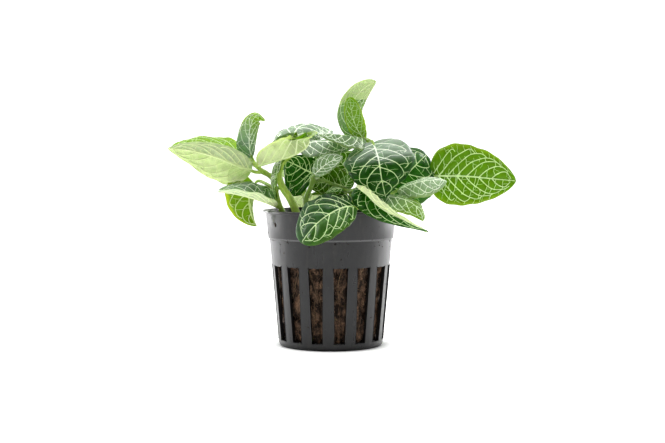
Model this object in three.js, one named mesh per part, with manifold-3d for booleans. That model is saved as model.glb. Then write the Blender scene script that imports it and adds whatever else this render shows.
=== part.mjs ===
// A nerve plant in its slotted nursery pot.
// Millimetres, +Z up. The origin is the middle of the underside of the pot; the side seen in the
// photograph faces -Y.
import * as THREE from "three";
import Module from "manifold-3d";
import { mergeVertices } from "three/addons/utils/BufferGeometryUtils.js";

const wasm = await Module();
wasm.setup();

// ---- Pot ----
const POT_HEIGHT = 52;
const WALL = 1.0;
const FLOOR = 1.2;
const RIM_RADIUS = 26;
const RIM_THICK = 0.9;
const COLLAR_TOP_RADIUS = 24.95;
const COLLAR_FOOT_RADIUS = 24.1;
const COLLAR_FOOT_Z = 41.6;
const STEP_DROP = 0.5;
const BODY_TOP_RADIUS = 23.5;
const BODY_FOOT_RADIUS = 20;
const BODY_FOOT_Z = 1.6;
const FOOT_RADIUS = 18.8;
const POT_SEGMENTS = 60;
const SLOT_COUNT = 15;
const SLOT_TURN = 9.4;
const SLOT_TOP_Z = 31.2;
const SLOT_FOOT_Z = 2.7;
const SLOT_TOP_WIDTH = 5.6;
const SLOT_FOOT_WIDTH = 4.1;
const DRAIN_COUNT = 6;
const DRAIN_RADIUS = 2.2;
const DRAIN_RING = 12;

// ---- Growing plug ----
const PLUG_GAP = 0.35;
const PLUG_TOP_Z = 47.5;
const PLUG_ROUGHNESS = 0.9;
const PLUG_SEGMENTS = 20;
const HOLE_CLEARANCE = 0.5;
const HOLE_FLOOR_Z = 37.5;
const STEM_FOOT_Z = 37.85;

// ---- Leaves and stems ----
const BLADE_THICK = 0.7;
const BLADE_TIP_HALF = 0.35;
const BLADE_STATIONS = [0, 0.05, 0.15, 0.29, 0.44, 0.6, 0.76, 0.9, 1];
const BLADE_LANES = [-1, -0.55, 0, 0.55, 1];
const STEM_SIDES = 6;
const PETIOLE_SIDES = 5;
const PETIOLE_RADIUS = 0.75;
const PETIOLE_TIP_RADIUS = 0.5;
const STEM_SPLITS = 2;

const radians = (degrees) => (degrees * Math.PI) / 180;
const lerp = (a, b, t) => a + (b - a) * t;
const vec = (p) => new THREE.Vector3(p[0], p[1], p[2]);

// ---- Closed solids from plain arrays ----

function solidOf(geometry) {
  const bare = geometry.clone();
  bare.deleteAttribute("normal");
  bare.deleteAttribute("uv");
  const merged = mergeVertices(bare, 1e-4);
  return new wasm.Manifold(
    new wasm.Mesh({
      numProp: 3,
      vertProperties: new Float32Array(merged.attributes.position.array),
      triVerts: new Uint32Array(merged.index.array),
    }),
  );
}

function geometryOf(solid) {
  const mesh = solid.getMesh();
  const count = mesh.vertProperties.length / mesh.numProp;
  const positions = new Float32Array(count * 3);
  for (let i = 0; i < count; i++) {
    for (let k = 0; k < 3; k++) {
      positions[i * 3 + k] = mesh.vertProperties[i * mesh.numProp + k];
    }
  }
  const geometry = new THREE.BufferGeometry();
  geometry.setAttribute("position", new THREE.BufferAttribute(positions, 3));
  geometry.setIndex(Array.from(mesh.triVerts));
  geometry.computeVertexNormals();
  return geometry;
}

// Rings of equal length, joined one to the next and closed with a point at each end.
function loftSolid(rings) {
  const sides = rings[0].length;
  const positions = [];
  const faces = [];
  rings.forEach((ring) => ring.forEach((p) => positions.push(p.x, p.y, p.z)));
  for (let i = 0; i + 1 < rings.length; i++) {
    for (let j = 0; j < sides; j++) {
      const a = i * sides + j;
      const b = i * sides + ((j + 1) % sides);
      faces.push(a, b, a + sides, b, b + sides, a + sides);
    }
  }
  [0, rings.length - 1].forEach((end) => {
    const middle = new THREE.Vector3();
    rings[end].forEach((p) => middle.addScaledVector(p, 1 / sides));
    const tip = positions.length / 3;
    positions.push(middle.x, middle.y, middle.z);
    for (let j = 0; j < sides; j++) {
      const a = end * sides + j;
      const b = end * sides + ((j + 1) % sides);
      faces.push(...(end === 0 ? [b, a, tip] : [a, b, tip]));
    }
  });
  const geometry = new THREE.BufferGeometry();
  geometry.setAttribute("position", new THREE.Float32BufferAttribute(positions, 3));
  geometry.setIndex(faces);
  return solidOf(geometry);
}

function prism(radius, sides, x, y, z0, z1) {
  const ring = (z) =>
    Array.from({ length: sides }, (_, j) => {
      const a = (2 * Math.PI * j) / sides;
      return new THREE.Vector3(x + radius * Math.cos(a), y + radius * Math.sin(a), z);
    });
  return loftSolid([ring(z0), ring(z1)]);
}

// ---- Pot ----

// Inside radius of the pot's wall at a height.
function insideRadius(z) {
  if (z > COLLAR_FOOT_Z) {
    const t = (z - COLLAR_FOOT_Z) / (POT_HEIGHT - RIM_THICK - COLLAR_FOOT_Z);
    return lerp(COLLAR_FOOT_RADIUS, COLLAR_TOP_RADIUS, Math.min(t, 1)) - WALL;
  }
  const t = (z - BODY_FOOT_Z) / (COLLAR_FOOT_Z - STEP_DROP - BODY_FOOT_Z);
  return lerp(BODY_FOOT_RADIUS, BODY_TOP_RADIUS, Math.min(Math.max(t, 0), 1)) - WALL;
}

function potSolid() {
  const stepZ = COLLAR_FOOT_Z - STEP_DROP;
  const rimZ = POT_HEIGHT - RIM_THICK;
  const profile = [
    [0, 0],
    [FOOT_RADIUS, 0],
    [FOOT_RADIUS + 0.8, 0.5],
    [BODY_FOOT_RADIUS, BODY_FOOT_Z],
    [BODY_TOP_RADIUS, stepZ],
    [COLLAR_FOOT_RADIUS, COLLAR_FOOT_Z],
    [COLLAR_TOP_RADIUS, rimZ],
    [RIM_RADIUS - 0.15, rimZ],
    [RIM_RADIUS, rimZ + 0.2],
    [RIM_RADIUS, POT_HEIGHT - 0.2],
    [RIM_RADIUS - 0.2, POT_HEIGHT],
    [COLLAR_TOP_RADIUS - WALL + 0.1, POT_HEIGHT],
    [insideRadius(rimZ), rimZ],
    [insideRadius(COLLAR_FOOT_Z + 0.01), COLLAR_FOOT_Z],
    [insideRadius(stepZ), stepZ],
    [insideRadius(BODY_FOOT_Z + 1), BODY_FOOT_Z + 1],
    [FOOT_RADIUS - 0.7, FLOOR],
    [0, FLOOR],
  ].map(([r, z]) => new THREE.Vector2(r, z));
  const lathe = new THREE.LatheGeometry(profile, POT_SEGMENTS).rotateX(Math.PI / 2);
  let pot = solidOf(lathe);
  const cutters = [];
  for (let i = 0; i < SLOT_COUNT; i++) {
    const angle = radians(SLOT_TURN - 90 + (360 / SLOT_COUNT) * i);
    const out = new THREE.Vector3(Math.cos(angle), Math.sin(angle), 0);
    const across = new THREE.Vector3(-Math.sin(angle), Math.cos(angle), 0);
    const ring = (r) =>
      [
        [-SLOT_FOOT_WIDTH / 2, SLOT_FOOT_Z],
        [SLOT_FOOT_WIDTH / 2, SLOT_FOOT_Z],
        [SLOT_TOP_WIDTH / 2, SLOT_TOP_Z],
        [-SLOT_TOP_WIDTH / 2, SLOT_TOP_Z],
      ].map(([w, z]) =>
        new THREE.Vector3(0, 0, z).addScaledVector(out, r).addScaledVector(across, w),
      );
    cutters.push(loftSolid([ring(RIM_RADIUS - 12), ring(RIM_RADIUS)]));
  }
  for (let i = 0; i < DRAIN_COUNT; i++) {
    const angle = radians((360 / DRAIN_COUNT) * i);
    const x = DRAIN_RING * Math.cos(angle);
    const y = DRAIN_RING * Math.sin(angle);
    cutters.push(prism(DRAIN_RADIUS, 12, x, y, -1, FLOOR + 1));
  }
  cutters.forEach((cutter) => {
    pot = pot.subtract(cutter);
  });
  return pot;
}

// ---- Growing plug ----

// A repeatable stream of numbers between 0 and 1.
function randomStream(seed) {
  let state = seed;
  return () => {
    state = (state * 1664525 + 1013904223) % 4294967296;
    return state / 4294967296;
  };
}

function plugSolid(stems) {
  const random = randomStream(7);
  const sideZ = [FLOOR + 0.35, 4, 10, 17, 24, 31, 38, 43, 46];
  const wobble = Array.from({ length: PLUG_SEGMENTS }, () => 0.5 * random());
  const circle = (radiusAt, z, rough) =>
    Array.from({ length: PLUG_SEGMENTS }, (_, j) => {
      const a = (2 * Math.PI * j) / PLUG_SEGMENTS;
      const r = radiusAt - PLUG_ROUGHNESS * (wobble[j] + 0.5 * random()) * rough;
      const lift = z > PLUG_TOP_Z - 2 ? 0.6 * random() : 0;
      return new THREE.Vector3(r * Math.cos(a), r * Math.sin(a), z + lift);
    });
  const rings = sideZ.map((z, i) => {
    const foot = i === 0 ? 1.4 : 0;
    return circle(insideRadius(z) - PLUG_GAP - foot, z, i === 0 ? 0 : 1);
  });
  rings.push(circle(insideRadius(PLUG_TOP_Z) - 2.5, PLUG_TOP_Z, 1));
  rings.push(circle(13, PLUG_TOP_Z, 2));
  rings.push(circle(6, PLUG_TOP_Z, 1));
  let plug = loftSolid(rings);
  stems.forEach(({ path, radius }) => {
    const [x, y] = path[0];
    const hole = prism(radius[0] + HOLE_CLEARANCE, 12, x, y, HOLE_FLOOR_Z, PLUG_TOP_Z + 4);
    plug = plug.subtract(hole);
  });
  return plug;
}

// ---- Stems ----

// A round bar along a smooth line through the points, its radius running from radius[0] to
// radius[1].
function barSolid(points, radius, sides) {
  const curve = new THREE.CatmullRomCurve3(points.map(vec), false, "centripetal");
  const steps = (points.length - 1) * STEM_SPLITS;
  const frames = curve.computeFrenetFrames(steps, false);
  const rings = [];
  for (let i = 0; i <= steps; i++) {
    const centre = curve.getPointAt(i / steps);
    const r = lerp(radius[0], radius[1], i / steps);
    rings.push(
      Array.from({ length: sides }, (_, j) => {
        const a = (2 * Math.PI * j) / sides;
        return centre
          .clone()
          .addScaledVector(frames.normals[i], r * Math.cos(a))
          .addScaledVector(frames.binormals[i], r * Math.sin(a));
      }),
    );
  }
  return loftSolid(rings);
}

// ---- Leaf blades ----

// The midrib's point and direction at u, 0 at the blade's base and 1 at its tip.
function midrib(rib, u) {
  const curve = new THREE.CubicBezierCurve3(...rib.map(vec));
  return { point: curve.getPoint(u), along: curve.getTangent(u).normalize() };
}

// Half width at u as a share of the widest: a rounded base, then a drawn-out tip.
function outline(u, [base, tip]) {
  const widest = base / (base + tip);
  return (u ** base * (1 - u) ** tip) / (widest ** base * (1 - widest) ** tip);
}

// A point of the blade's middle surface and the way the upper side faces there. u runs along the
// midrib and v across, -1 at the left edge and 1 at the right. Each half leaves the midrib at its
// fold angle and bends by its curl angle on the way to its edge.
function bladePoint(leaf, u, v) {
  const { point, along } = midrib(leaf.rib, u);
  const up = vec(leaf.up);
  up.addScaledVector(along, -up.dot(along)).normalize();
  const turn = leaf.roll ?? [0, 0];
  up.applyAxisAngle(along, radians(lerp(turn[0], turn[1], u * u * (3 - 2 * u))));
  const right = along.clone().cross(up);
  const half = v < 0 ? 0 : 1;
  const side = v < 0 ? -1 : 1;
  const foldTip = leaf.foldTip ?? leaf.fold;
  const fold = v === 0 ? 0 : radians(lerp(leaf.fold[half], foldTip[half], u));
  const curl = radians(leaf.curl[half]) || 1e-3;
  const reach = Math.abs(v);
  const shape = leaf.shapes?.[half] ?? leaf.shape ?? [0.38, 0.72];
  const width = Math.max(leaf.half[half] * outline(u, shape), BLADE_TIP_HALF);
  const over = (width * (Math.sin(fold + curl * reach) - Math.sin(fold))) / curl;
  const rise = (width * (Math.cos(fold) - Math.cos(fold + curl * reach))) / curl;
  const slope = v === 0 ? 0 : fold + curl * reach;
  return {
    point: point.addScaledVector(right, side * over).addScaledVector(up, rise),
    face: up
      .clone()
      .multiplyScalar(Math.cos(slope))
      .addScaledVector(right, -side * Math.sin(slope)),
  };
}

// The blade as a closed sheet: each ring goes over the upper side and back under the lower.
function bladeSolid(leaf) {
  const rings = BLADE_STATIONS.map((u) => {
    const lanes = BLADE_LANES.map((v) => bladePoint(leaf, u, v));
    const shift = (lane, by) => lane.point.clone().addScaledVector(lane.face, by);
    const upper = lanes.map((lane) => shift(lane, BLADE_THICK / 2));
    const lower = lanes.map((lane) => shift(lane, -BLADE_THICK / 2)).reverse();
    return [...upper, ...lower];
  });
  return loftSolid(rings);
}

// The leaf stalk, from the stem into the underside of the midrib.
function petioleSolid(leaf) {
  const start = midrib(leaf.rib, 0);
  const before = start.point.clone().addScaledVector(start.along, -1.6);
  const sink = (u) => {
    const { point, face } = bladePoint(leaf, u, 0);
    return point.addScaledVector(face, -0.25).toArray();
  };
  const points = [leaf.from, before.toArray(), sink(0), sink(0.12)];
  const size = leaf.stalk ?? 1;
  return barSolid(points, [PETIOLE_RADIUS * size, PETIOLE_TIP_RADIUS * size], PETIOLE_SIDES);
}

function shootSolid({ stems, leaves }) {
  const bars = stems.map(({ path, radius }) => barSolid(path, radius, STEM_SIDES));
  const blades = leaves.flatMap((leaf) => [petioleSolid(leaf), bladeSolid(leaf)]);
  const whole = [...bars, ...blades].reduce((sum, solid) => sum.add(solid));
  return whole.decompose().reduce((most, body) => (body.volume() > most.volume() ? body : most));
}

// ---- The shoots ----
// Every stem is a path up from the plug. Every leaf has the point where its stalk leaves the stem,
// the four Bezier points of its midrib, the way its upper side faces, its half widths left and
// right of the midrib, and the fold and curl of each half in degrees.
const foot = (x, y, z = 48.5) => [
  [x, y, STEM_FOOT_Z],
  [x, y, STEM_FOOT_Z + 5],
  [x, y, z],
];

const SHOOTS = {
  shoot_left: {
    stems: [
      {
        path: [
          ...foot(-17.5, -9),
          [-19.8, -9.8, 56],
          [-21, -9.2, 60.5],
          [-22, -8.2, 64.3],
          [-26, -7, 67],
          [-29.2, -5, 69.8],
        ],
        radius: [1.0, 0.8],
      },
    ],
    leaves: [
      {
        from: [-29, -5.2, 69.5],
        rib: [[-30, -3, 72], [-32.2, -4, 77], [-31, -4, 93], [-24.8, -6, 86]],
        up: [-0.4, -1, 0.1],
        roll: [0, 35],
        half: [5.2, 3.2],
        fold: [12, 12],
        curl: [-25, -25],
        shapes: [[0.3, 1.2], [0.6, 0.5]],
        stalk: 0.8,
      },
      {
        from: [-25, -7.2, 66.6],
        rib: [[-30, -6, 67], [-36, -8, 69], [-47.5, -10, 75.5], [-61.5, -9, 75.5]],
        up: [-0.1, 1, 0.3],
        half: [5.5, 9.5],
        fold: [5, 5],
        curl: [10, 10],
        shape: [0.5, 0.8],
      },
      {
        from: [-29, -5.1, 69.6],
        rib: [[-31, 0, 71], [-39.5, 1, 76.5], [-50, 0, 78], [-60.5, -4, 76]],
        up: [0, -0.6, 1],
        half: [8, 8],
        fold: [12, 12],
        curl: [-25, -25],
      },
      {
        from: [-22.4, -8.1, 64.6],
        rib: [[-27, -9.5, 69], [-19, -19, 71.5], [-4.5, -23, 74], [-9, -20.5, 81]],
        up: [-0.2, 0, 1],
        half: [11, 8],
        fold: [68, 75],
        foldTip: [40, 60],
        curl: [0, 0],
        shape: [0.38, 0.4],
      },
      {
        from: [-18.4, -9.3, 51.5],
        rib: [[-20.5, -10, 53.7], [-26, -11, 56], [-34, -12, 59], [-42.5, -12, 59.5]],
        up: [0, 0, 1],
        half: [8, 9],
        fold: [18, 42],
        curl: [0, 0],
      },
      {
        from: [-21, -9.2, 60.3],
        rib: [[-29, -2, 62], [-32, -4, 59], [-31.5, -6, 51], [-28, -7, 46]],
        up: [-0.2, 1, 0.2],
        half: [9.5, 3.5],
        fold: [5, 30],
        foldTip: [5, 80],
        curl: [0, 0],
        shapes: [[0.4, 0.9], [0.3, 1.6]],
      },
    ],
  },
  shoot_tall: {
    stems: [
      {
        path: [
          ...foot(-12, -13),
          [-15.2, -13.5, 56.7],
          [-18, -14, 61],
          [-19.4, -14, 65.5],
          [-18.4, -13, 69.8],
          [-15.5, -11, 73.2],
          [-14, -7, 74.8],
        ],
        radius: [1.4, 0.95],
      },
    ],
    leaves: [
      {
        from: [-14.2, -7.5, 74.7],
        rib: [[-14, -2, 75], [-16, 4, 88], [-6, 10, 85], [1, 14, 82]],
        up: [0, -0.2, 1],
        half: [10, 11],
        fold: [0, 0],
        curl: [-40, -60],
      },
      {
        from: [-14.1, -7.2, 74.7],
        rib: [[-12.5, -3, 76], [-6, -4, 79.2], [2.5, -5, 78.2], [8.5, -5, 75.8]],
        up: [0, -0.8, 1],
        half: [4, 8],
        fold: [-20, 5],
        curl: [-25, -25],
      },
      {
        from: [-16.2, -11.5, 72.5],
        rib: [[-17.5, -12, 72.3], [-21.5, -13, 70], [-23.5, -13, 62], [-20, -12, 56.5]],
        up: [-1, -0.3, 0.1],
        half: [7, 3],
        fold: [12, 12],
        curl: [-25, -25],
        stalk: 0.8,
      },
    ],
  },
  shoot_centre: {
    stems: [
      {
        path: [...foot(-8.5, -15.5), [-9.2, -15.5, 56.4], [-7.5, -14.5, 61], [-6.3, -13.6, 64.2]],
        radius: [1.1, 0.9],
      },
      {
        path: [[-6.8, -14, 62.8], [-3.4, -12.6, 63.6], [0.8, -12.2, 62], [5, -12.4, 60], [7.8, -15, 59.4]],
        radius: [0.7, 0.65],
      },
    ],
    leaves: [
      {
        from: [-6.3, -13.6, 63.6],
        rib: [[-6, -7.5, 65.5], [-9, -5, 67], [-13.5, -3.8, 69.5], [-17.5, -3.2, 71]],
        up: [-0.1, -1, 0.1],
        half: [11, 5.5],
        fold: [12, 12],
        curl: [-25, -25],
      },
      {
        from: [-6.4, -13.7, 63.4],
        rib: [[-6.3, -14, 65.2], [-4, -15, 68], [-0.5, -15, 71], [4.5, -13, 72.5]],
        up: [-0.1, -0.8, 0.5],
        half: [4.5, 3.5],
        fold: [12, 12],
        curl: [-25, -25],
        shape: [0.6, 0.6],
        stalk: 0.8,
      },
      {
        from: [5, -12.4, 60],
        rib: [[6, -4, 60.5], [1.5, -5, 62.5], [-3.5, -5, 63.5], [-8.5, -4, 61]],
        up: [0, -1, 0.4],
        half: [7, 7],
        fold: [12, 12],
        curl: [-25, -25],
        stalk: 0.8,
      },
      {
        from: [5, -12.4, 60],
        rib: [[5.3, -12, 61], [6, -13, 62.5], [7, -13, 64.5], [9, -12, 66.3]],
        up: [0, -1, 0.4],
        half: [2.6, 2.6],
        fold: [12, 12],
        curl: [-25, -25],
        stalk: 0.7,
      },
      {
        from: [5, -12.4, 60],
        rib: [[4.2, -13.2, 60.3], [2.5, -15, 60.6], [0.5, -16, 60.2], [-1.8, -16, 59]],
        up: [0, -0.6, 1],
        half: [2, 2],
        fold: [12, 12],
        curl: [-25, -25],
        stalk: 0.7,
      },
      {
        from: [7.5, -14.7, 59.4],
        rib: [[12, -20.5, 61], [15, -26.5, 60], [21.5, -32.5, 51.5], [35.5, -29, 45]],
        up: [0.2, -0.8, 0.6],
        half: [8, 8],
        fold: [150, 14],
        foldTip: [140, -60],
        curl: [0, -10],
        shapes: [[0.5, 0.8], [0.5, 1.3]],
      },
    ],
  },
  shoot_top: {
    stems: [
      {
        path: [...foot(4, -2), [6, 0, 60], [10, 2, 70], [13.4, 0.6, 77.2]],
        radius: [1.1, 0.8],
      },
    ],
    leaves: [
      {
        from: [13.4, 0.6, 76.9],
        rib: [[16, -4, 77.5], [18, -13, 73.5], [18.5, -17, 64.5], [20.5, -14, 57]],
        up: [0.1, -1, 1],
        half: [14, 13],
        fold: [30, 10],
        foldTip: [10, 10],
        curl: [-40, -50],
      },
      {
        from: [13.3, 0.7, 76.6],
        rib: [[13.6, 1, 79], [1.5, 1, 84.8], [9, 2, 98.5], [17.4, 1, 101.1]],
        up: [0.3, 1, 0.2],
        half: [4.8, 5],
        fold: [12, 12],
        curl: [-25, -25],
        shape: [0.45, 0.65],
      },
      {
        from: [13.3, 0.4, 76.6],
        rib: [[13.2, -0.6, 78.8], [8.9, -2.5, 82.2], [7.7, -4, 89.4], [7.2, -3, 95]],
        up: [-0.1, -1, 0.1],
        half: [3.3, 4],
        fold: [25, 12],
        curl: [-25, -25],
        shape: [0.5, 0.5],
      },
      {
        from: [13.2, 0.8, 76.8],
        rib: [[12, -1.5, 79.3], [7.5, -5.8, 80], [1.5, -10, 81.2], [-4.5, -12, 80.5]],
        up: [0, -0.1, 1],
        half: [8, 5.5],
        fold: [-24, 0],
        curl: [-25, -25],
      },
      {
        from: [6.4, 0.4, 61.5],
        rib: [[7, 5, 65], [6, 6, 68], [4, 6, 70], [1, 6.5, 74]],
        up: [0, -1, 0.2],
        half: [8, 8],
        fold: [12, 12],
        curl: [-25, -25],
      },
    ],
  },
  shoot_right: {
    stems: [
      {
        path: [...foot(14, 1), [17, 4, 54], [23, 6.5, 58.5], [30, 7, 61.8]],
        radius: [1.1, 0.8],
      },
    ],
    leaves: [
      {
        from: [29, 7, 61.4],
        rib: [[38.5, 6, 64.8], [49, 4, 65.2], [60.5, 3, 64], [71.5, 4, 62.9]],
        up: [0.1, -1, 0.15],
        half: [12.7, 11.4],
        fold: [8, 8],
        curl: [-12, -12],
        shape: [0.35, 0.68],
      },
      {
        from: [19, 5, 55.8],
        rib: [[22, 3, 58.5], [26, 1, 62], [32.5, 0, 69], [37, 8, 73]],
        up: [0.4, -1, 0.3],
        half: [10.5, 12.8],
        fold: [5, 5],
        curl: [-20, -20],
        shape: [0.4, 0.5],
      },
      {
        from: [28, 7, 61],
        rib: [[29, 11, 62], [35, 14, 65], [42, 18, 65], [49, 22, 60]],
        up: [0, -0.2, 1],
        half: [9, 9],
        fold: [12, 12],
        curl: [-25, -25],
      },
    ],
  },
  shoot_front_right: {
    stems: [
      {
        path: [...foot(12, -10), [14, -9.5, 53.5], [17, -7, 57]],
        radius: [1.0, 0.8],
      },
    ],
    leaves: [
      {
        from: [15.8, -8, 55.8],
        rib: [[18.5, -9.5, 56.8], [24, -12, 58], [33, -17, 56.5], [34.3, -16, 48.5]],
        up: [0.3, -0.6, 1],
        half: [8, 7.5],
        fold: [-10, -10],
        curl: [-20, -20],
      },
      {
        from: [16.6, -7.4, 56.6],
        rib: [[25.5, -3.5, 59.5], [31, -7.5, 62.5], [38, -11, 64.5], [43.6, -12, 63]],
        up: [0.1, -0.5, 1],
        half: [4, 7.5],
        fold: [10, -20],
        curl: [-20, -25],
        shapes: [[0.38, 0.72], [0.6, 0.55]],
      },
    ],
  },
  shoot_front: {
    stems: [
      {
        path: [...foot(5.5, -15, 49.5), [7, -16.6, 52.6], [8.6, -19.5, 53.8]],
        radius: [1.0, 0.8],
      },
    ],
    leaves: [
      {
        from: [8.2, -19, 53.7],
        rib: [[9, -25, 54], [4, -30, 55.4], [-4.5, -33, 51], [-10.5, -31, 41.3]],
        up: [-0.1, -0.8, 0.7],
        half: [9, 10.5],
        fold: [8, 8],
        curl: [-25, -25],
        shape: [0.62, 0.5],
      },
      {
        from: [7.8, -18, 53.2],
        rib: [[7, -19.5, 55], [4, -19, 56.4], [-2, -18, 57], [-6.5, -17.5, 55]],
        up: [0, -0.4, 1],
        half: [5, 7],
        fold: [12, 12],
        curl: [-25, -25],
      },
    ],
  },
  shoot_back_left: {
    stems: [
      {
        path: [...foot(-8, 8), [-10, 11, 56], [-11, 15, 63], [-12, 18, 68]],
        radius: [1.1, 0.8],
      },
    ],
    leaves: [
      {
        from: [-11.9, 17.5, 67.2],
        rib: [[-13, 22, 67.5], [-14, 30, 71], [-15, 38, 68.5], [-15, 46, 61]],
        up: [-0.2, 0.2, 1],
        half: [9, 9],
        fold: [12, 12],
        curl: [-25, -25],
      },
      {
        from: [-11.9, 17.8, 67.6],
        rib: [[-7, 20, 70.5], [-1, 26, 75], [4, 33, 74], [8, 40, 70]],
        up: [0, -0.1, 1],
        half: [9, 9],
        fold: [12, 12],
        curl: [-25, -25],
      },
      {
        from: [-10, 11.4, 56.8],
        rib: [[-8, 18, 57], [-7, 26, 59], [-8, 34, 54], [-9, 39, 45]],
        up: [0, 0.5, 1],
        half: [9, 9],
        fold: [12, 12],
        curl: [-25, -25],
      },
      {
        from: [-10.3, 12.4, 58.6],
        rib: [[-15, 15, 59.5], [-21, 18, 61], [-29, 22, 58.5], [-36, 25, 53]],
        up: [-0.2, 0.1, 1],
        half: [8.5, 8.5],
        fold: [12, 12],
        curl: [-25, -25],
      },
    ],
  },
  shoot_back_right: {
    stems: [
      {
        path: [...foot(6, 10), [9, 13, 55], [13, 17, 61], [16, 20, 66]],
        radius: [1.1, 0.8],
      },
    ],
    leaves: [
      {
        from: [15.7, 19.7, 65.4],
        rib: [[20, 23, 66.5], [26, 28, 70], [33, 33, 67], [40, 37, 60]],
        up: [0.2, 0.1, 1],
        half: [10, 10],
        fold: [12, 12],
        curl: [-25, -25],
      },
      {
        from: [15.8, 19.8, 65.7],
        rib: [[15.5, 24, 67.5], [16, 31, 71.5], [17, 38, 70], [19, 46, 64]],
        up: [0, 0.1, 1],
        half: [8.5, 8.5],
        fold: [12, 12],
        curl: [-25, -25],
      },
      {
        from: [9, 13.2, 55.4],
        rib: [[6, 12, 60], [2, 11, 66], [-2, 12, 70], [-6, 14, 73]],
        up: [0, -1, 0.6],
        half: [8, 8],
        fold: [12, 12],
        curl: [-25, -25],
      },
      {
        from: [9.4, 13.4, 55.6],
        rib: [[12, 19.5, 55.8], [15, 27, 57.5], [20, 34, 53], [24, 39, 45]],
        up: [0.2, 0.5, 1],
        half: [9, 9],
        fold: [12, 12],
        curl: [-25, -25],
      },
    ],
  },
};

// ---- The part ----

function piece(name, solid, color, roughness) {
  const material = new THREE.MeshStandardMaterial({ color, roughness, name: `${name}_material` });
  const mesh = new THREE.Mesh(geometryOf(solid), material);
  mesh.name = name;
  return mesh;
}

const rootedStems = Object.values(SHOOTS).map((shoot) => shoot.stems[0]);

const part = new THREE.Group();
part.name = "potted_nerve_plant";
part.add(piece("pot", potSolid(), 0x2b2c2e, 0.5));
part.add(piece("growing_plug", plugSolid(rootedStems), 0x4a3425, 0.95));
Object.entries(SHOOTS).forEach(([name, shoot]) => {
  part.add(piece(name, shootSolid(shoot), 0x3f7d2c, 0.5));
});

export default part;
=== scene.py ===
import math

import bpy
import numpy as np
from bpy.props import FloatProperty, FloatVectorProperty, IntProperty, PointerProperty
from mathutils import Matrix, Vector


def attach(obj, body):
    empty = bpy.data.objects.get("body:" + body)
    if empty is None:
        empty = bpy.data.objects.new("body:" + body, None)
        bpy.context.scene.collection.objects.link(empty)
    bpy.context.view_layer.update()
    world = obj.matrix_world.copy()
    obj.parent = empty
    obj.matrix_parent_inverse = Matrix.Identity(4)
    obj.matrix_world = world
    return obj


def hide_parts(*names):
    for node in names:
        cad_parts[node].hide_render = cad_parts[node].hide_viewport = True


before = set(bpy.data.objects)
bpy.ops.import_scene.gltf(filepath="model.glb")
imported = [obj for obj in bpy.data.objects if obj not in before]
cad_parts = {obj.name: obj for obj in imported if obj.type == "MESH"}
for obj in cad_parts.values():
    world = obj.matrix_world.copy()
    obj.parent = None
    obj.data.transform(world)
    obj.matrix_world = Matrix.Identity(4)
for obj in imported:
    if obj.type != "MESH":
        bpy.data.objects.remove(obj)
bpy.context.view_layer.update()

bl_info = {
    "name": "Potted nerve plant",
    "version": (1, 0, 0),
    "blender": (4, 5, 0),
    "location": "3D View > Sidebar > Plant",
    "description": "Builds a nerve plant in its slotted nursery pot around the packed model",
    "category": "Object",
}

MM = 0.001
BODY = "root"

# ---- Sizes in millimetres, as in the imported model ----
POT_HEIGHT = 52.0
WALL = 1.0
FLOOR = 1.2
RIM_RADIUS = 26.0
RIM_THICK = 0.9
COLLAR_TOP_RADIUS = 24.95
COLLAR_FOOT_RADIUS = 24.1
COLLAR_FOOT_Z = 41.6
STEP_DROP = 0.5
BODY_TOP_RADIUS = 23.5
BODY_FOOT_RADIUS = 20.0
BODY_FOOT_Z = 1.6
FOOT_RADIUS = 18.8
SLOT_COUNT = 15
SLOT_TURN = 9.4
SLOT_TOP_Z = 31.2
SLOT_FOOT_Z = 2.7
SLOT_TOP_WIDTH = 5.6
SLOT_FOOT_WIDTH = 4.1
DRAIN_COUNT = 6
DRAIN_RADIUS = 2.2
DRAIN_RING = 12.0
PLUG_TOP_Z = 47.5
STEM_FOOT_Z = 37.85
PETIOLE_RADIUS = 0.75
PETIOLE_TIP_RADIUS = 0.5

# ---- Sizes in millimetres that only the looks need ----
HEEL = 1.6
HEEL_LEAN = 0.0886
HEEL_TUCK = 0.75
SPECK_COUNT = 150
SPECK_SIZES = (0.08, 0.5)
CRUMB_TURN = math.atan2(-13.0, -20.7)
CRUMB_Z = 46.9
CRUMB_SIZE = 0.7
PLUG_TURNS = 420
LITTER_GRAINS = 900
LITTER_THREADS = 160
STEM_SIDES = 14
HAIRS_PER_MM = 9.0
HAIR_RADIUS = 0.028
# Width of the painted contact shadow round the pot's foot.
SHADOW_WIDTH = 7
# Noise on the plug: its cells, then their height or shift, seed and share.
LUMP_LAYERS = ((44, 5.2, 3, 0.55), (90, 2.6, 5, 0.4))
MOUND_LAYERS = ((3.1, 50, 21, 0.7), (1.2, 50, 22, 0.4), (0.5, 80, 23, 0.2))
# A kind of vein, how far it stands out above and below the blade, and its rank for the colour.
VEIN_KINDS = (("rib", 0.07, 0.34, 0.0), ("side", 0.06, 0.14, 0.2), ("cross", 0.045, 0.06, 1.0))

# ---- Seeds of the random draws ----
LITTER_SEED = 31
LITTER_SHAPE_SEED = 32
FIBRE_SEED = 41
ROOT_SEED = 42
SPECK_SEED = 71
SPECK_SHAPE_SEED = 72
LEAF_SEED = 500
HAIR_SEED = 900

# ---- Stage, in metres ----
FLOOR_REACH = 9.0
LAMP_AIM = (0, 0, 0.05)
CAMERA_PLACE = (0.00065, -0.540, 0.0765)
CAMERA_TILT = 86.92
CAMERA_LENS = 76.22
CAMERA_SENSOR = 36.0


def foot(x, y, z=48.5):
    """A stem's straight start in its hole."""
    return [[x, y, STEM_FOOT_Z], [x, y, STEM_FOOT_Z + 5], [x, y, z]]


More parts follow.
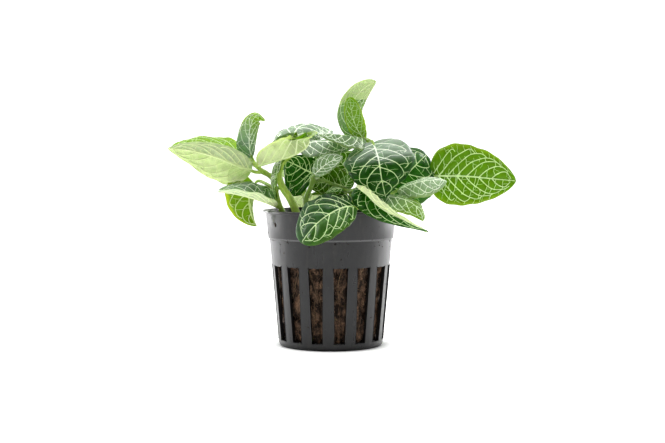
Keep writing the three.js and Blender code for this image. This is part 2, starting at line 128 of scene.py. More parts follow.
def leaf(start, rib, up, half, fold=(12, 12), curl=(-25, -25), **more):
    """A leaf: where its stalk leaves the stem, the four Bezier points of its midrib, the way its
    upper side faces, half widths left and right, and the fold and curl of each half in degrees.

    The rest is optional. Form: fold_tip is the fold at the tip, roll turns the blade about its
    midrib from base to tip, shape (or shapes, one for each half) has the outline's powers at base
    and tip, and stalk scales the stalk's radius. Colour: young makes the blade fresher;
    tone goes from dark to bright green, the leaf's own tone and also painted
    light for how lit or shaded the leaf is, and bloom adds a painted silvery sheen that
    stands for gloss, each as one share or one for each half, with tone_tip and
    bloom_tip at the tip; as far as u = turned the lower face is coloured like the upper
    one. Veins: pairs of side veins; gap scales the net's spacing, bold its width."""
    return {"from": start, "rib": rib, "up": up, "half": half, "fold": fold, "curl": curl, **more}


# Every stem is a path with its first and last radius, and a shoot's first stem starts in the
# plug; painted_sun is how much light the shoot's stems get, painted into their colour as painted
# shade where it is low, 0.5 where none is given.
SHOOTS = {
    "shoot_left": {
        "painted_sun": 0.7,
        "stems": [
            ([*foot(-17.5, -9), [-19.8, -9.8, 56], [-21, -9.2, 60.5], [-22, -8.2, 64.3],
                [-26, -7, 67], [-29.2, -5, 69.8]], (1.0, 0.8)),
        ],
        "leaves": [
            leaf([-29, -5.2, 69.5],
                [[-30, -3, 72], [-32.2, -4, 77], [-31, -4, 93], [-24.8, -6, 86]], [-0.4, -1, 0.1],
                (5.2, 3.2), roll=(0, 35), shapes=((0.3, 1.2), (0.6, 0.5)), stalk=0.8,
                tone=(-0.3, 0), tone_tip=(1.1, 1.1), bloom=(1.1, 0.8), bloom_tip=(0.2, -0.1)),
            leaf([-25, -7.2, 66.6],
                [[-30, -6, 67], [-36, -8, 69], [-47.5, -10, 75.5], [-61.5, -9, 75.5]],
                [-0.1, 1, 0.3], (5.5, 9.5), fold=(5, 5), curl=(10, 10), shape=(0.5, 0.8),
                tone=(0.12, 0.35), bloom=(0.35, 0), pairs=6),
            leaf([-29, -5.1, 69.6], [[-31, 0, 71], [-39.5, 1, 76.5], [-50, 0, 78], [-60.5, -4, 76]],
                [0, -0.6, 1], (8, 8), tone=0.9),
            leaf([-22.4, -8.1, 64.6],
                [[-27, -9.5, 69], [-19, -19, 71.5], [-4.5, -23, 74], [-9, -20.5, 81]], [-0.2, 0, 1],
                (11, 8), fold=(68, 75), fold_tip=(40, 60), curl=(0, 0), shape=(0.38, 0.4),
                tone=(0.15, 0.35), tone_tip=(0.3, 1.1), bloom_tip=(0, 0.8)),
            leaf([-18.4, -9.3, 51.5],
                [[-20.5, -10, 53.7], [-26, -11, 56], [-34, -12, 59], [-42.5, -12, 59.5]], [0, 0, 1],
                (8, 9), fold=(18, 42), curl=(0, 0), tone=(0.1, 0.1), tone_tip=(0.3, 0.2),
                bloom=(0.1, 0.1), bloom_tip=(1.6, 1.0)),
            leaf([-21, -9.2, 60.3], [[-29, -2, 62], [-32, -4, 59], [-31.5, -6, 51], [-28, -7, 46]],
                [-0.2, 1, 0.2], (9.5, 3.5), fold=(5, 30), fold_tip=(5, 80), curl=(0, 0),
                shapes=((0.4, 0.9), (0.3, 1.6)), tone=1.6),
        ],
    },
    "shoot_tall": {
        "painted_sun": 1.0,
        "stems": [
            ([*foot(-12, -13), [-15.2, -13.5, 56.7], [-18, -14, 61], [-19.4, -14, 65.5],
                [-18.4, -13, 69.8], [-15.5, -11, 73.2], [-14, -7, 74.8]], (1.7, 1.05)),
        ],
        "leaves": [
            leaf([-14.2, -7.5, 74.7], [[-14, -2, 75], [-16, 4, 88], [-6, 10, 85], [1, 14, 82]],
                [0, -0.2, 1], (10, 11), fold=(0, 0), curl=(-40, -60), tone=0.1, bloom=(1.25, 1.25)),
            leaf([-14.1, -7.2, 74.7],
                [[-12.5, -3, 76], [-6, -4, 79.2], [2.5, -5, 78.2], [8.5, -5, 75.8]], [0, -0.8, 1],
                (4, 8), fold=(-20, 5), tone=0.15, bloom=(0.65, 0.65)),
            leaf([-16.2, -11.5, 72.5],
                [[-17.5, -12, 72.3], [-21.5, -13, 70], [-23.5, -13, 62], [-20, -12, 56.5]],
                [-1, -0.3, 0.1], (7, 3), stalk=0.8),
        ],
    },
    "shoot_centre": {
        "painted_sun": 0.15,
        "stems": [
            ([*foot(-8.5, -15.5), [-9.2, -15.5, 56.4], [-7.5, -14.5, 61], [-6.3, -13.6, 64.2]],
                (1.1, 0.9)),
            ([[-6.8, -14, 62.8], [-3.4, -12.6, 63.6], [0.8, -12.2, 62], [5, -12.4, 60],
                [7.8, -15, 59.4]], (0.7, 0.65)),
        ],
        "leaves": [
            leaf([-6.3, -13.6, 63.6],
                [[-6, -7.5, 65.5], [-9, -5, 67], [-13.5, -3.8, 69.5], [-17.5, -3.2, 71]],
                [-0.1, -1, 0.1], (11, 5.5), tone=-0.1),
            leaf([-6.4, -13.7, 63.4],
                [[-6.3, -14, 65.2], [-4, -15, 68], [-0.5, -15, 71], [4.5, -13, 72.5]],
                [-0.1, -0.8, 0.5], (4.5, 3.5), shape=(0.6, 0.6), stalk=0.8, young=1.0,
                bloom=(0.5, 0.5)),
            leaf([5, -12.4, 60], [[6, -4, 60.5], [1.5, -5, 62.5], [-3.5, -5, 63.5], [-8.5, -4, 61]],
                [0, -1, 0.4], (7, 7), stalk=0.8),
            leaf([5, -12.4, 60], [[5.3, -12, 61], [6, -13, 62.5], [7, -13, 64.5], [9, -12, 66.3]],
                [0, -1, 0.4], (2.6, 2.6), stalk=0.7, young=0.9),
            leaf([5, -12.4, 60],
                [[4.2, -13.2, 60.3], [2.5, -15, 60.6], [0.5, -16, 60.2], [-1.8, -16, 59]],
                [0, -0.6, 1], (2, 2), stalk=0.7, young=1.0),
            leaf([7.5, -14.7, 59.4],
                [[12, -20.5, 61], [15, -26.5, 60], [21.5, -32.5, 51.5], [35.5, -29, 45]],
                [0.2, -0.8, 0.6], (8, 8), fold=(150, 14), fold_tip=(140, -60), curl=(0, -10),
                shapes=((0.5, 0.8), (0.5, 1.3)), tone=0.0),
        ],
    },
    "shoot_top": {
        "stems": [([*foot(4, -2), [6, 0, 60], [10, 2, 70], [13.4, 0.6, 77.2]], (1.1, 0.8))],
        "leaves": [
            leaf([13.4, 0.6, 76.9],
                [[16, -4, 77.5], [18, -13, 73.5], [18.5, -17, 64.5], [20.5, -14, 57]], [0.1, -1, 1],
                (14, 13), fold=(30, 10), fold_tip=(10, 10), curl=(-40, -50), tone=-0.1,
                bloom=(1.6, 0.9), bloom_tip=(-1.6, -1.0)),
            leaf([13.3, 0.7, 76.6], [[13.6, 1, 79], [1.5, 1, 84.8], [9, 2, 98.5], [17.4, 1, 101.1]],
                [0.3, 1, 0.2], (4.8, 5), shape=(0.45, 0.65), tone=0.1, tone_tip=0.4, bloom=0.75,
                bloom_tip=0.6, turned=0.6),
            leaf([13.3, 0.4, 76.6],
                [[13.2, -0.6, 78.8], [8.9, -2.5, 82.2], [7.7, -4, 89.4], [7.2, -3, 95]],
                [-0.1, -1, 0.1], (3.3, 4), fold=(25, 12), shape=(0.5, 0.5), young=0.8,
                tone=(1.0, 1.1)),
            leaf([13.2, 0.8, 76.8],
                [[12, -1.5, 79.3], [7.5, -5.8, 80], [1.5, -10, 81.2], [-4.5, -12, 80.5]],
                [0, -0.1, 1], (8, 5.5), fold=(-24, 0), tone=0.35, bloom=0.4),
            leaf([6.4, 0.4, 61.5], [[7, 5, 65], [6, 6, 68], [4, 6, 70], [1, 6.5, 74]], [0, -1, 0.2],
                (8, 8)),
        ],
    },
    "shoot_right": {
        "stems": [([*foot(14, 1), [17, 4, 54], [23, 6.5, 58.5], [30, 7, 61.8]], (1.1, 0.8))],
        "leaves": [
            leaf([29, 7, 61.4], [[38.5, 6, 64.8], [49, 4, 65.2], [60.5, 3, 64], [71.5, 4, 62.9]],
                [0.1, -1, 0.15], (12.7, 11.4), fold=(8, 8), curl=(-12, -12), shape=(0.35, 0.68),
                tone=0.42, pairs=7, gap=0.85, bold=1.2),
            leaf([19, 5, 55.8], [[22, 3, 58.5], [26, 1, 62], [32.5, 0, 69], [37, 8, 73]],
                [0.4, -1, 0.3], (10.5, 12.8), fold=(5, 5), curl=(-20, -20), shape=(0.4, 0.5),
                tone=0.0, bloom=(0.1, -0.2), bloom_tip=(0.2, -0.1), gap=1.3),
            leaf([28, 7, 61], [[29, 11, 62], [35, 14, 65], [42, 18, 65], [49, 22, 60]],
                [0, -0.2, 1], (9, 9)),
        ],
    },
    "shoot_front_right": {
        "stems": [([*foot(12, -10), [14, -9.5, 53.5], [17, -7, 57]], (1.0, 0.8))],
        "leaves": [
            leaf([15.8, -8, 55.8],
                [[18.5, -9.5, 56.8], [24, -12, 58], [33, -17, 56.5], [34.3, -16, 48.5]],
                [0.3, -0.6, 1], (8, 7.5), fold=(-10, -10), curl=(-20, -20), tone=0.05, tone_tip=0.9,
                bloom=0.4, bloom_tip=0.1),
            leaf([16.6, -7.4, 56.6],
                [[25.5, -3.5, 59.5], [31, -7.5, 62.5], [38, -11, 64.5], [43.6, -12, 63]],
                [0.1, -0.5, 1], (4, 7.5), fold=(10, -20), curl=(-20, -25),
                shapes=((0.38, 0.72), (0.6, 0.55)), tone=0.3, bloom=(1.15, 0.85)),
        ],
    },
    "shoot_front": {
        "stems": [([*foot(5.5, -15, 49.5), [7, -16.6, 52.6], [8.6, -19.5, 53.8]], (1.0, 0.8))],
        "leaves": [
            leaf([8.2, -19, 53.7],
                [[9, -25, 54], [4, -30, 55.4], [-4.5, -33, 51], [-10.5, -31, 41.3]],
                [-0.1, -0.8, 0.7], (9, 10.5), fold=(8, 8), shape=(0.62, 0.5), tone=(0.12, -0.05),
                bloom=(0.05, -0.1), bloom_tip=(0.05, 0.2), gap=1.4, bold=1.05),
            leaf([7.8, -18, 53.2],
                [[7, -19.5, 55], [4, -19, 56.4], [-2, -18, 57], [-6.5, -17.5, 55]], [0, -0.4, 1],
                (5, 7)),
        ],
    },
    "shoot_back_left": {
        "stems": [([*foot(-8, 8), [-10, 11, 56], [-11, 15, 63], [-12, 18, 68]], (1.1, 0.8))],
        "leaves": [
            leaf([-11.9, 17.5, 67.2],
                [[-13, 22, 67.5], [-14, 30, 71], [-15, 38, 68.5], [-15, 46, 61]], [-0.2, 0.2, 1],
                (9, 9)),
            leaf([-11.9, 17.8, 67.6], [[-7, 20, 70.5], [-1, 26, 75], [4, 33, 74], [8, 40, 70]],
                [0, -0.1, 1], (9, 9)),
            leaf([-10, 11.4, 56.8], [[-8, 18, 57], [-7, 26, 59], [-8, 34, 54], [-9, 39, 45]],
                [0, 0.5, 1], (9, 9)),
            leaf([-10.3, 12.4, 58.6],
                [[-15, 15, 59.5], [-21, 18, 61], [-29, 22, 58.5], [-36, 25, 53]], [-0.2, 0.1, 1],
                (8.5, 8.5)),
        ],
    },
    "shoot_back_right": {
        "stems": [([*foot(6, 10), [9, 13, 55], [13, 17, 61], [16, 20, 66]], (1.1, 0.8))],
        "leaves": [
            leaf([15.7, 19.7, 65.4], [[20, 23, 66.5], [26, 28, 70], [33, 33, 67], [40, 37, 60]],
                [0.2, 0.1, 1], (10, 10)),
            leaf([15.8, 19.8, 65.7], [[15.5, 24, 67.5], [16, 31, 71.5], [17, 38, 70], [19, 46, 64]],
                [0, 0.1, 1], (8.5, 8.5)),
            leaf([9, 13.2, 55.4], [[6, 12, 60], [2, 11, 66], [-2, 12, 70], [-6, 14, 73]],
                [0, -1, 0.6], (8, 8)),
            leaf([9.4, 13.4, 55.6], [[12, 19.5, 55.8], [15, 27, 57.5], [20, 34, 53], [24, 39, 45]],
                [0.2, 0.5, 1], (9, 9)),
        ],
    },
}


# ---- Sizes and colours that a user would change ----

COLOUR = {"subtype": "COLOR", "size": 3, "min": 0, "max": 1}


class StageSettings(bpy.types.PropertyGroup):
    floor_shade: FloatVectorProperty(
        name="Floor shade", description="Colour of the floor",
        default=(0.85, 0.85, 0.86), **COLOUR)
    floor_glow: FloatProperty(
        name="Floor glow", description="How strongly the paper is lit through from behind",
        min=0, default=0.45)
    key_power: FloatProperty(
        name="Key light", description="Power of the large softbox above the plant, in watts",
        unit="POWER", min=0, default=11.0)
    side_power: FloatProperty(
        name="Side lights", description="Power of each softbox beside the plant, in watts",
        unit="POWER", min=0, default=2.0)
    rim_power: FloatProperty(
        name="Rim lights", description="Power of each light behind the plant that shows as gloss",
        unit="POWER", min=0, default=13.0)
    surround_front: FloatProperty(
        name="Front surround", description="Strength of the surroundings on the camera's side",
        min=0, default=0.1)
    surround_back: FloatProperty(
        name="Back surround", description="Strength of the surroundings behind the plant",
        min=0, default=1.3)


class PotSettings(bpy.types.PropertyGroup):
    plastic: FloatVectorProperty(
        name="Plastic", description="Colour of the moulded plastic",
        default=(0.014, 0.014, 0.0142), **COLOUR)
    edge_round: FloatProperty(
        name="Edge rounding", description="Width of the bevel on the pot's moulded edges",
        unit="LENGTH", min=0, default=0.16 * MM)


class PlugSettings(bpy.types.PropertyGroup):
    peat: FloatVectorProperty(
        name="Peat", description="Colour of the dry lumps of the growing plug",
        default=(0.13, 0.085, 0.057), **COLOUR)
    fibres: IntProperty(
        name="Fibres", description="Number of loose fibres on the plug", min=0, default=900)
    roots: IntProperty(
        name="Roots", description="Number of root threads on the plug's side", min=0, default=26)


class LeafSettings(bpy.types.PropertyGroup):
    upper: FloatVectorProperty(
        name="Upper side", description="Green of a leaf's upper side between its veins",
        default=(0.004, 0.03, 0.002), **COLOUR)
    under: FloatVectorProperty(
        name="Underside", description="Pale green of a leaf's underside",
        default=(0.7, 0.74, 0.45), **COLOUR)
    vein: FloatVectorProperty(
        name="Veins", description="Cream of the vein net", default=(0.7, 0.86, 0.46), **COLOUR)
    thickness: FloatProperty(
        name="Thickness", description="Thickness of a blade",
        unit="LENGTH", min=0, default=0.34 * MM)
    cell: FloatProperty(
        name="Grid step", description="Distance between the points of a blade's grid",
        unit="LENGTH", min=0.1 * MM, default=0.36 * MM)
    puff: FloatProperty(
        name="Quilting", description="How far the blade stands up between its veins",
        unit="LENGTH", min=0, default=0.26 * MM)
    vein_gap: FloatProperty(
        name="Net spacing", description="Distance between the cross veins",
        unit="LENGTH", min=0.5 * MM, default=2.8 * MM)


# ---- Meshes from whole arrays ----


def lerp(a, b, t):
    """a at t = 0, b at t = 1, straight between."""
    return a + (b - a) * t


def smooth(x):
    """0 below 0, 1 above 1, and 3x^2 - 2x^3 between."""
    x = np.clip(x, 0, 1)
    return x * x * (3 - 2 * x)


def unit(a):
    """The vectors in the last axis, each divided by its length."""
    return a / np.maximum(np.linalg.norm(a, axis=-1, keepdims=True), 1e-9)


def dot(a, b):
    """Sum of the products along the last axis, which is kept."""
    return (a * b).sum(-1, keepdims=True)


def polar(r, turn, z):
    """The points (r cos turn, r sin turn, z), for arrays that fit each other."""
    return np.stack(np.broadcast_arrays(r * np.cos(turn), r * np.sin(turn), z), -1)


def ring_faces(rings, sides):
    """Quads that join each closed ring of points to the next one."""
    i, j = np.meshgrid(np.arange(rings - 1), np.arange(sides), indexing="ij")
    a = i * sides + j
    b = i * sides + (j + 1) % sides
    return np.stack([a, b, b + sides, a + sides], -1).reshape(-1, 4)


def zip_caps(rings, sides):
    """Quads that close the first and the last ring of a flat tube, point k against point
    sides - 1 - k."""
    k = np.arange(sides // 2 - 1)
    first = np.stack([k + 1, k, sides - 1 - k, sides - 2 - k], -1)
    last = first[:, ::-1] + (rings - 1) * sides
    return np.concatenate([first, last])


def repeat_faces(faces, count, stride):
    """The same faces for count shapes whose points follow each other, stride points each."""
    return (faces[None] + (np.arange(count) * stride)[:, None, None]).reshape(-1, faces.shape[1])


def signed_volume(points, faces):
    """Sum of a . (b x c) / 6 over the fan triangles of every face."""
    total = 0.0
    for k in range(1, faces.shape[1] - 1):
        a, b, c = points[faces[:, 0]], points[faces[:, k]], points[faces[:, k + 1]]
        total += np.einsum("ij,ij->", a, np.cross(b, c)) / 6
    return total


def part(points, faces, paint=0, **values):
    """Points in mm, their faces turned to look outwards, the number of their material and their
    values per point."""
    points = np.asarray(points, float).reshape(-1, 3)
    groups = faces if isinstance(faces, list) else [faces]
    middle = points - points.mean(0)
    if sum(signed_volume(middle, group) for group in groups) < 0:
        groups = [group[:, ::-1] for group in groups]
    return {"points": points, "faces": groups, "paint": paint, "values": values}


def make_piece(name, parts, materials, nodes=(), sharp=180.0):
    """One mesh of all the parts, in metres, that rides on the plant's body."""
    points = np.concatenate([p["points"] for p in parts])
    loops, counts, paints = [], [], []
    base = 0
    for p in parts:
        for group in p["faces"]:
            loops.append((group + base).ravel())
            counts.append(np.full(len(group), group.shape[1]))
            paints.append(np.full(len(group), p["paint"]))
        base += len(p["points"])
    loops = np.concatenate(loops)
    counts = np.concatenate(counts)
    mesh = bpy.data.meshes.new(name)
    mesh.vertices.add(len(points))
    mesh.vertices.foreach_set("co", (points * MM).astype(np.float32).ravel())
    mesh.loops.add(len(loops))
    mesh.loops.foreach_set("vertex_index", loops.astype(np.int32))
    mesh.polygons.add(len(counts))
    starts = np.concatenate([[0], np.cumsum(counts)[:-1]])
    mesh.polygons.foreach_set("loop_start", starts.astype(np.int32))
    mesh.polygons.foreach_set("material_index", np.concatenate(paints).astype(np.int32))
    mesh.polygons.foreach_set("use_smooth", np.ones(len(counts), bool))
    for key in parts[0]["values"]:
        layer = mesh.attributes.new(key, "FLOAT", "POINT")
        layer.data.foreach_set(
            "value",
            np.concatenate([np.ravel(p["values"][key]) for p in parts]).astype(np.float32),
        )
    mesh.update(calc_edges=True)
    mesh.validate()
    if sharp < 180:
        mesh.set_sharp_from_angle(angle=math.radians(sharp))
    for material in materials:
        mesh.materials.append(material)
    piece = bpy.data.objects.new(name, mesh)
    bpy.context.scene.collection.objects.link(piece)
    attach(piece, BODY)
    if nodes:
        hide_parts(*nodes)
    return piece


def lattice_noise(x, y, seed, period=None):
    """Smooth noise from -1 to 1: random heights on whole-number points, blended with 3t^2 - 2t^3.
    Repeats every period in x."""
    heights = np.random.default_rng(seed).uniform(-1, 1, (256, 256))
    x0, y0 = np.floor(x).astype(int), np.floor(y).astype(int)
    tx, ty = smooth(x - x0), smooth(y - y0)
    wrap = period or 256

    def at(i, j):
        """The height on a whole-number point."""
        return heights[(i % wrap) % 256, j % 256]

    low = lerp(at(x0, y0), at(x0 + 1, y0), tx)
    high = lerp(at(x0, y0 + 1), at(x0 + 1, y0 + 1), tx)
    return lerp(low, high, ty)


# ---- Tubes, hairs and grains ----


def distances(line):
    """How far along the line each of its points lies: the running sum of its steps."""
    return np.concatenate([[0], np.cumsum(np.linalg.norm(np.diff(line, axis=0), axis=1))])


def smooth_path(points, steps):
    """The centripetal Catmull-Rom line through the points, at evenly spaced lengths."""
    p = np.asarray(points, float)
    p = np.concatenate([[2 * p[0] - p[1]], p, [2 * p[-1] - p[-2]]])
    gaps = np.linalg.norm(np.diff(p, axis=0), axis=1) ** 0.5
    t = np.linspace(0, 1, 24, endpoint=False)[:, None]
    d0, d1, d2 = (gaps[k : len(p) - 3 + k, None, None] for k in range(3))
    p0, p1, p2, p3 = (p[k : len(p) - 3 + k, None] for k in range(4))
    m1 = ((p1 - p0) / d0 - (p2 - p0) / (d0 + d1) + (p2 - p1) / d1) * d1
    m2 = ((p2 - p1) / d1 - (p3 - p1) / (d1 + d2) + (p3 - p2) / d2) * d1
    a = 2 * (p1 - p2) + m1 + m2
    b = 3 * (p2 - p1) - 2 * m1 - m2
    line = (a * t**3 + b * t**2 + m1 * t + p1).reshape(-1, 3)
    line = np.concatenate([line, p[-2:-1]])
    reach = distances(line)
    even = np.linspace(0, reach[-1], steps)
    return np.stack([np.interp(even, reach, line[:, k]) for k in range(3)], -1)


def frames_along(path):
    """The path's direction, and two directions across it that turn as little as a fixed side
    direction lets them."""
    along = unit(np.gradient(path, axis=-2))
    sides = unit(np.array([[1, 0, 0], [0, 1, 0], [0, 0, 1], [1, 1, 0], [1, -1, 0], [1, 0, 1.0]]))
    lean = np.abs(np.einsum("...nk,sk->...ns", along, sides)).max(-2)
    side = sides[np.argmin(lean, -1)][..., None, :]
    across = unit(np.cross(along, side))
    return along, across, np.cross(along, across)


def circles(centres, radius, across, up, sides):
    """A circle of so many points round each centre: the centre plus radius times
    (cos a across + sin a up) for even steps of the angle a."""
    a = np.linspace(0, 2 * np.pi, sides, endpoint=False)[:, None]
    spokes = np.cos(a) * across[..., None, :] + np.sin(a) * up[..., None, :]
    return centres[..., None, :] + np.asarray(radius)[..., None, None] * spokes


def capped_rings(rings, poles):
    """Closed rings of points joined to each other, and the first and the last ring each closed by
    a fan round its pole."""
    rows, sides = rings.shape[:2]
    count = rows * sides
    j = np.arange(sides)
    k = (j + 1) % sides
    first = np.stack([k, j, np.full(sides, count)], -1)
    last = np.stack([j, k, np.full(sides, count + 1)], -1) + [count - sides, count - sides, 0]
    points = np.concatenate([rings.reshape(-1, 3), poles])
    return part(points, [ring_faces(rows, sides), np.concatenate([first, last])])


def tube(path, radius, sides):
    """Circles of the given radius around each point of the path, joined and closed with a point at
    each end."""
    _, across, up = frames_along(path)
    return capped_rings(circles(path, radius, across, up, sides), path[[0, -1]])


def threads(paths, radius, paint):
    """Many thin three-sided tubes of equal point count, thinner towards both ends."""
    many, steps = paths.shape[:2]
    _, across, up = frames_along(paths)
    taper = 0.35 + 0.65 * np.sin(np.pi * np.linspace(0, 1, steps)) ** 0.5
    rings = circles(paths, radius[:, None] * taper, across, up, 3)
    last = (steps - 1) * 3
    ends = np.array([[2, 1, 0], [last, last + 1, last + 2]])
    stride = steps * 3
    faces = [repeat_faces(ring_faces(steps, 3), many, stride), repeat_faces(ends, many, stride)]
    return part(rings, faces, paint)


def hairs(roots, ways, length, radius, paint):
    """Three-sided cones from the roots, each along its own way."""
    ways = unit(ways)
    helper = np.where(np.abs(ways[:, 2:3]) < 0.8, [[0, 0, 1.0]], [[1.0, 0, 0]])
    across = unit(np.cross(ways, helper))
    base = circles(roots, radius, across, np.cross(ways, across), 3)
    tips = (roots + ways * length[:, None])[:, None]
    cone = np.array([[0, 1, 3], [1, 2, 3], [2, 0, 3], [2, 1, 0]])
    return part(np.concatenate([base, tips], 1), repeat_faces(cone, len(roots), 4), paint)


def icosahedron():
    """Corners at (0, 1, g) with every sign and cyclic turn, g being the golden ratio, brought to
    length 1, and the twenty faces between them."""
    g = (1 + 5**0.5) / 2
    corners = [
        [-1, g, 0], [1, g, 0], [-1, -g, 0], [1, -g, 0], [0, -1, g], [0, 1, g],
        [0, -1, -g], [0, 1, -g], [g, 0, -1], [g, 0, 1], [-g, 0, -1], [-g, 0, 1],
    ]
    faces = [
        [0, 11, 5], [0, 5, 1], [0, 1, 7], [0, 7, 10], [0, 10, 11], [1, 5, 9], [5, 11, 4],
        [11, 10, 2], [10, 7, 6], [7, 1, 8], [3, 9, 4], [3, 4, 2], [3, 2, 6], [3, 6, 8],
        [3, 8, 9], [4, 9, 5], [2, 4, 11], [6, 2, 10], [8, 6, 7], [9, 8, 1],
    ]
    return unit(np.array(corners)), np.array(faces)


def turn_matrices(q):
    """The rotation matrix of each unit quaternion (w, x, y, z)."""
    w, x, y, z = q.T
    rows = [
        [1 - 2 * (y * y + z * z), 2 * (x * y - w * z), 2 * (x * z + w * y)],
        [2 * (x * y + w * z), 1 - 2 * (x * x + z * z), 2 * (y * z - w * x)],
        [2 * (x * z - w * y), 2 * (y * z + w * x), 1 - 2 * (x * x + y * y)],
    ]
    return np.stack([np.stack(row, -1) for row in rows], -2)


def grains(centres, size, seed, flat=None):
    """Rough grains: the twelve corners of an icosahedron, each pushed out by its own random
    share, stretched and turned at random, and pressed flat along a direction where one is given."""
    rng = np.random.default_rng(seed)
    corners, faces = icosahedron()
    many = len(centres)
    shape = corners[None] * rng.uniform(0.7, 1.25, (many, 12, 1))
    shape = shape * rng.uniform(0.6, 1.4, (many, 1, 3))
    turn = turn_matrices(unit(rng.normal(size=(many, 4))))
    shape = np.einsum("mij,mkj->mki", turn, shape) * size[:, None, None]
    if flat is not None:
        shape -= 0.6 * dot(shape, flat[:, None]) * flat[:, None]
    return part(centres[:, None] + shape, repeat_faces(faces, many, 12))


# ---- Pot ----


def inside_radius(z):
    """Inside radius of the pot's wall: two straight cones, the collar's above the step."""
    collar = np.clip((z - COLLAR_FOOT_Z) / (POT_HEIGHT - RIM_THICK - COLLAR_FOOT_Z), 0, 1)
    body = np.clip((z - BODY_FOOT_Z) / (COLLAR_FOOT_Z - STEP_DROP - BODY_FOOT_Z), 0, 1)
    return np.where(
        z > COLLAR_FOOT_Z,
        lerp(COLLAR_FOOT_RADIUS, COLLAR_TOP_RADIUS, collar) - WALL,
        lerp(BODY_FOOT_RADIUS, BODY_TOP_RADIUS, body) - WALL,
    )


def pot_wall():
    """The pot's profile turned about its axis, without the cells inside the slots. Row i of the
    profile has radius r and height z; column j has an angle that keeps the slots' sides straight:
    inside a slot asin(w / r) of its half width w at that height, and even steps between slots."""
    step_z = COLLAR_FOOT_Z - STEP_DROP
    rim_z = POT_HEIGHT - RIM_THICK
    turn = np.linspace(0, np.pi / 2, 6)
    foot_r = BODY_FOOT_RADIUS + (HEEL - BODY_FOOT_Z) * HEEL_LEAN
    foot_r = foot_r - HEEL * (1 - np.sin(turn)) * HEEL_TUCK
    foot_z = HEEL * (1 - np.cos(turn))
    body_z = np.array([2.2, SLOT_FOOT_Z, 7, 12, 17, 22, 27, SLOT_TOP_Z, 33, 36, 39, 40.6])
    up_body = (body_z - BODY_FOOT_Z) / (step_z - BODY_FOOT_Z)
    body_r = lerp(BODY_FOOT_RADIUS, BODY_TOP_RADIUS, up_body)
    outer = np.concatenate(
        [
            np.stack([foot_r, foot_z], -1),
            np.stack([body_r, body_z], -1),
            [
                [BODY_TOP_RADIUS, step_z],
                [COLLAR_FOOT_RADIUS - 0.12, step_z + 0.22],
                [COLLAR_FOOT_RADIUS, step_z + 0.5],
                [lerp(COLLAR_FOOT_RADIUS, COLLAR_TOP_RADIUS, 0.5), (COLLAR_FOOT_Z + rim_z) / 2],
                [COLLAR_TOP_RADIUS, rim_z - 0.25],
                [COLLAR_TOP_RADIUS + 0.25, rim_z],
                [RIM_RADIUS - 0.2, rim_z],
                [RIM_RADIUS, rim_z + 0.25],
                [RIM_RADIUS, POT_HEIGHT - 0.25],
                [RIM_RADIUS - 0.25, POT_HEIGHT],
            ],
        ]
    )
    inner_z = body_z[::-1]
    inner = np.concatenate(
        [
            [
                [COLLAR_TOP_RADIUS - WALL + 0.3, POT_HEIGHT],
                [COLLAR_TOP_RADIUS - WALL, POT_HEIGHT - 0.3],
                [float(inside_radius(COLLAR_FOOT_Z + 0.01)), COLLAR_FOOT_Z],
                [float(inside_radius(step_z)), step_z],
            ],
            np.stack([inside_radius(inner_z), inner_z], -1),
            [[FOOT_RADIUS - 0.7, FLOOR], [FOOT_RADIUS - 0.7, 0]],
        ]
    )
    r, z = np.concatenate([outer, inner]).T
    rows = len(r)
    in_slot = 10
    in_rib = 14
    sector = 2 * np.pi / SLOT_COUNT
    up_slot = np.clip((z - SLOT_FOOT_Z) / (SLOT_TOP_Z - SLOT_FOOT_Z), 0, 1)
    across = lerp(SLOT_FOOT_WIDTH, SLOT_TOP_WIDTH, up_slot)
    half = np.arcsin(across / 2 / r)[:, None]
    slot_part = lerp(-half, half, np.linspace(0, 1, in_slot + 1)[None, :-1])
    rib_part = lerp(half, sector - half, np.linspace(0, 1, in_rib + 1)[None, :-1])
    one = np.concatenate([slot_part, rib_part], 1)
    first = math.radians(SLOT_TURN - 90)
    angle = one[:, None] + (np.arange(SLOT_COUNT) * sector)[None, :, None]
    angle = angle.reshape(rows, -1) + first
    cols = angle.shape[1]
    points = polar(r[:, None], angle, z[:, None])
    at_slot = (z > SLOT_FOOT_Z - 1e-6) & (z < SLOT_TOP_Z + 1e-6)
    slot_row = at_slot & np.roll(at_slot, -1)
    slot_col = np.arange(cols) % (in_slot + in_rib) < in_slot
    open_cell = (slot_row[:, None] & slot_col).ravel()
    faces = [(ring_faces(rows + 1, cols) % (rows * cols))[~open_cell]]
    outside, inside = np.split(np.flatnonzero(at_slot)[:, None] * cols, 2)
    inside = inside[::-1]
    left = np.arange(SLOT_COUNT) * (in_slot + in_rib)
    for column, way in ((left, 1), (left + in_slot, -1)):
        a, b = outside + column, inside + column
        side = np.stack([a[:-1], a[1:], b[1:], b[:-1]], -1).reshape(-1, 4)
        faces.append(side[:, ::way])
    span = (left[:, None] + np.arange(in_slot)).ravel()
    for row, way in ((0, 1), (-1, -1)):
        a, b = outside[row] + span, inside[row] + span
        faces.append(np.stack([a + 1, a, b, b + 1], -1)[:, ::way])
    return part(points, faces)


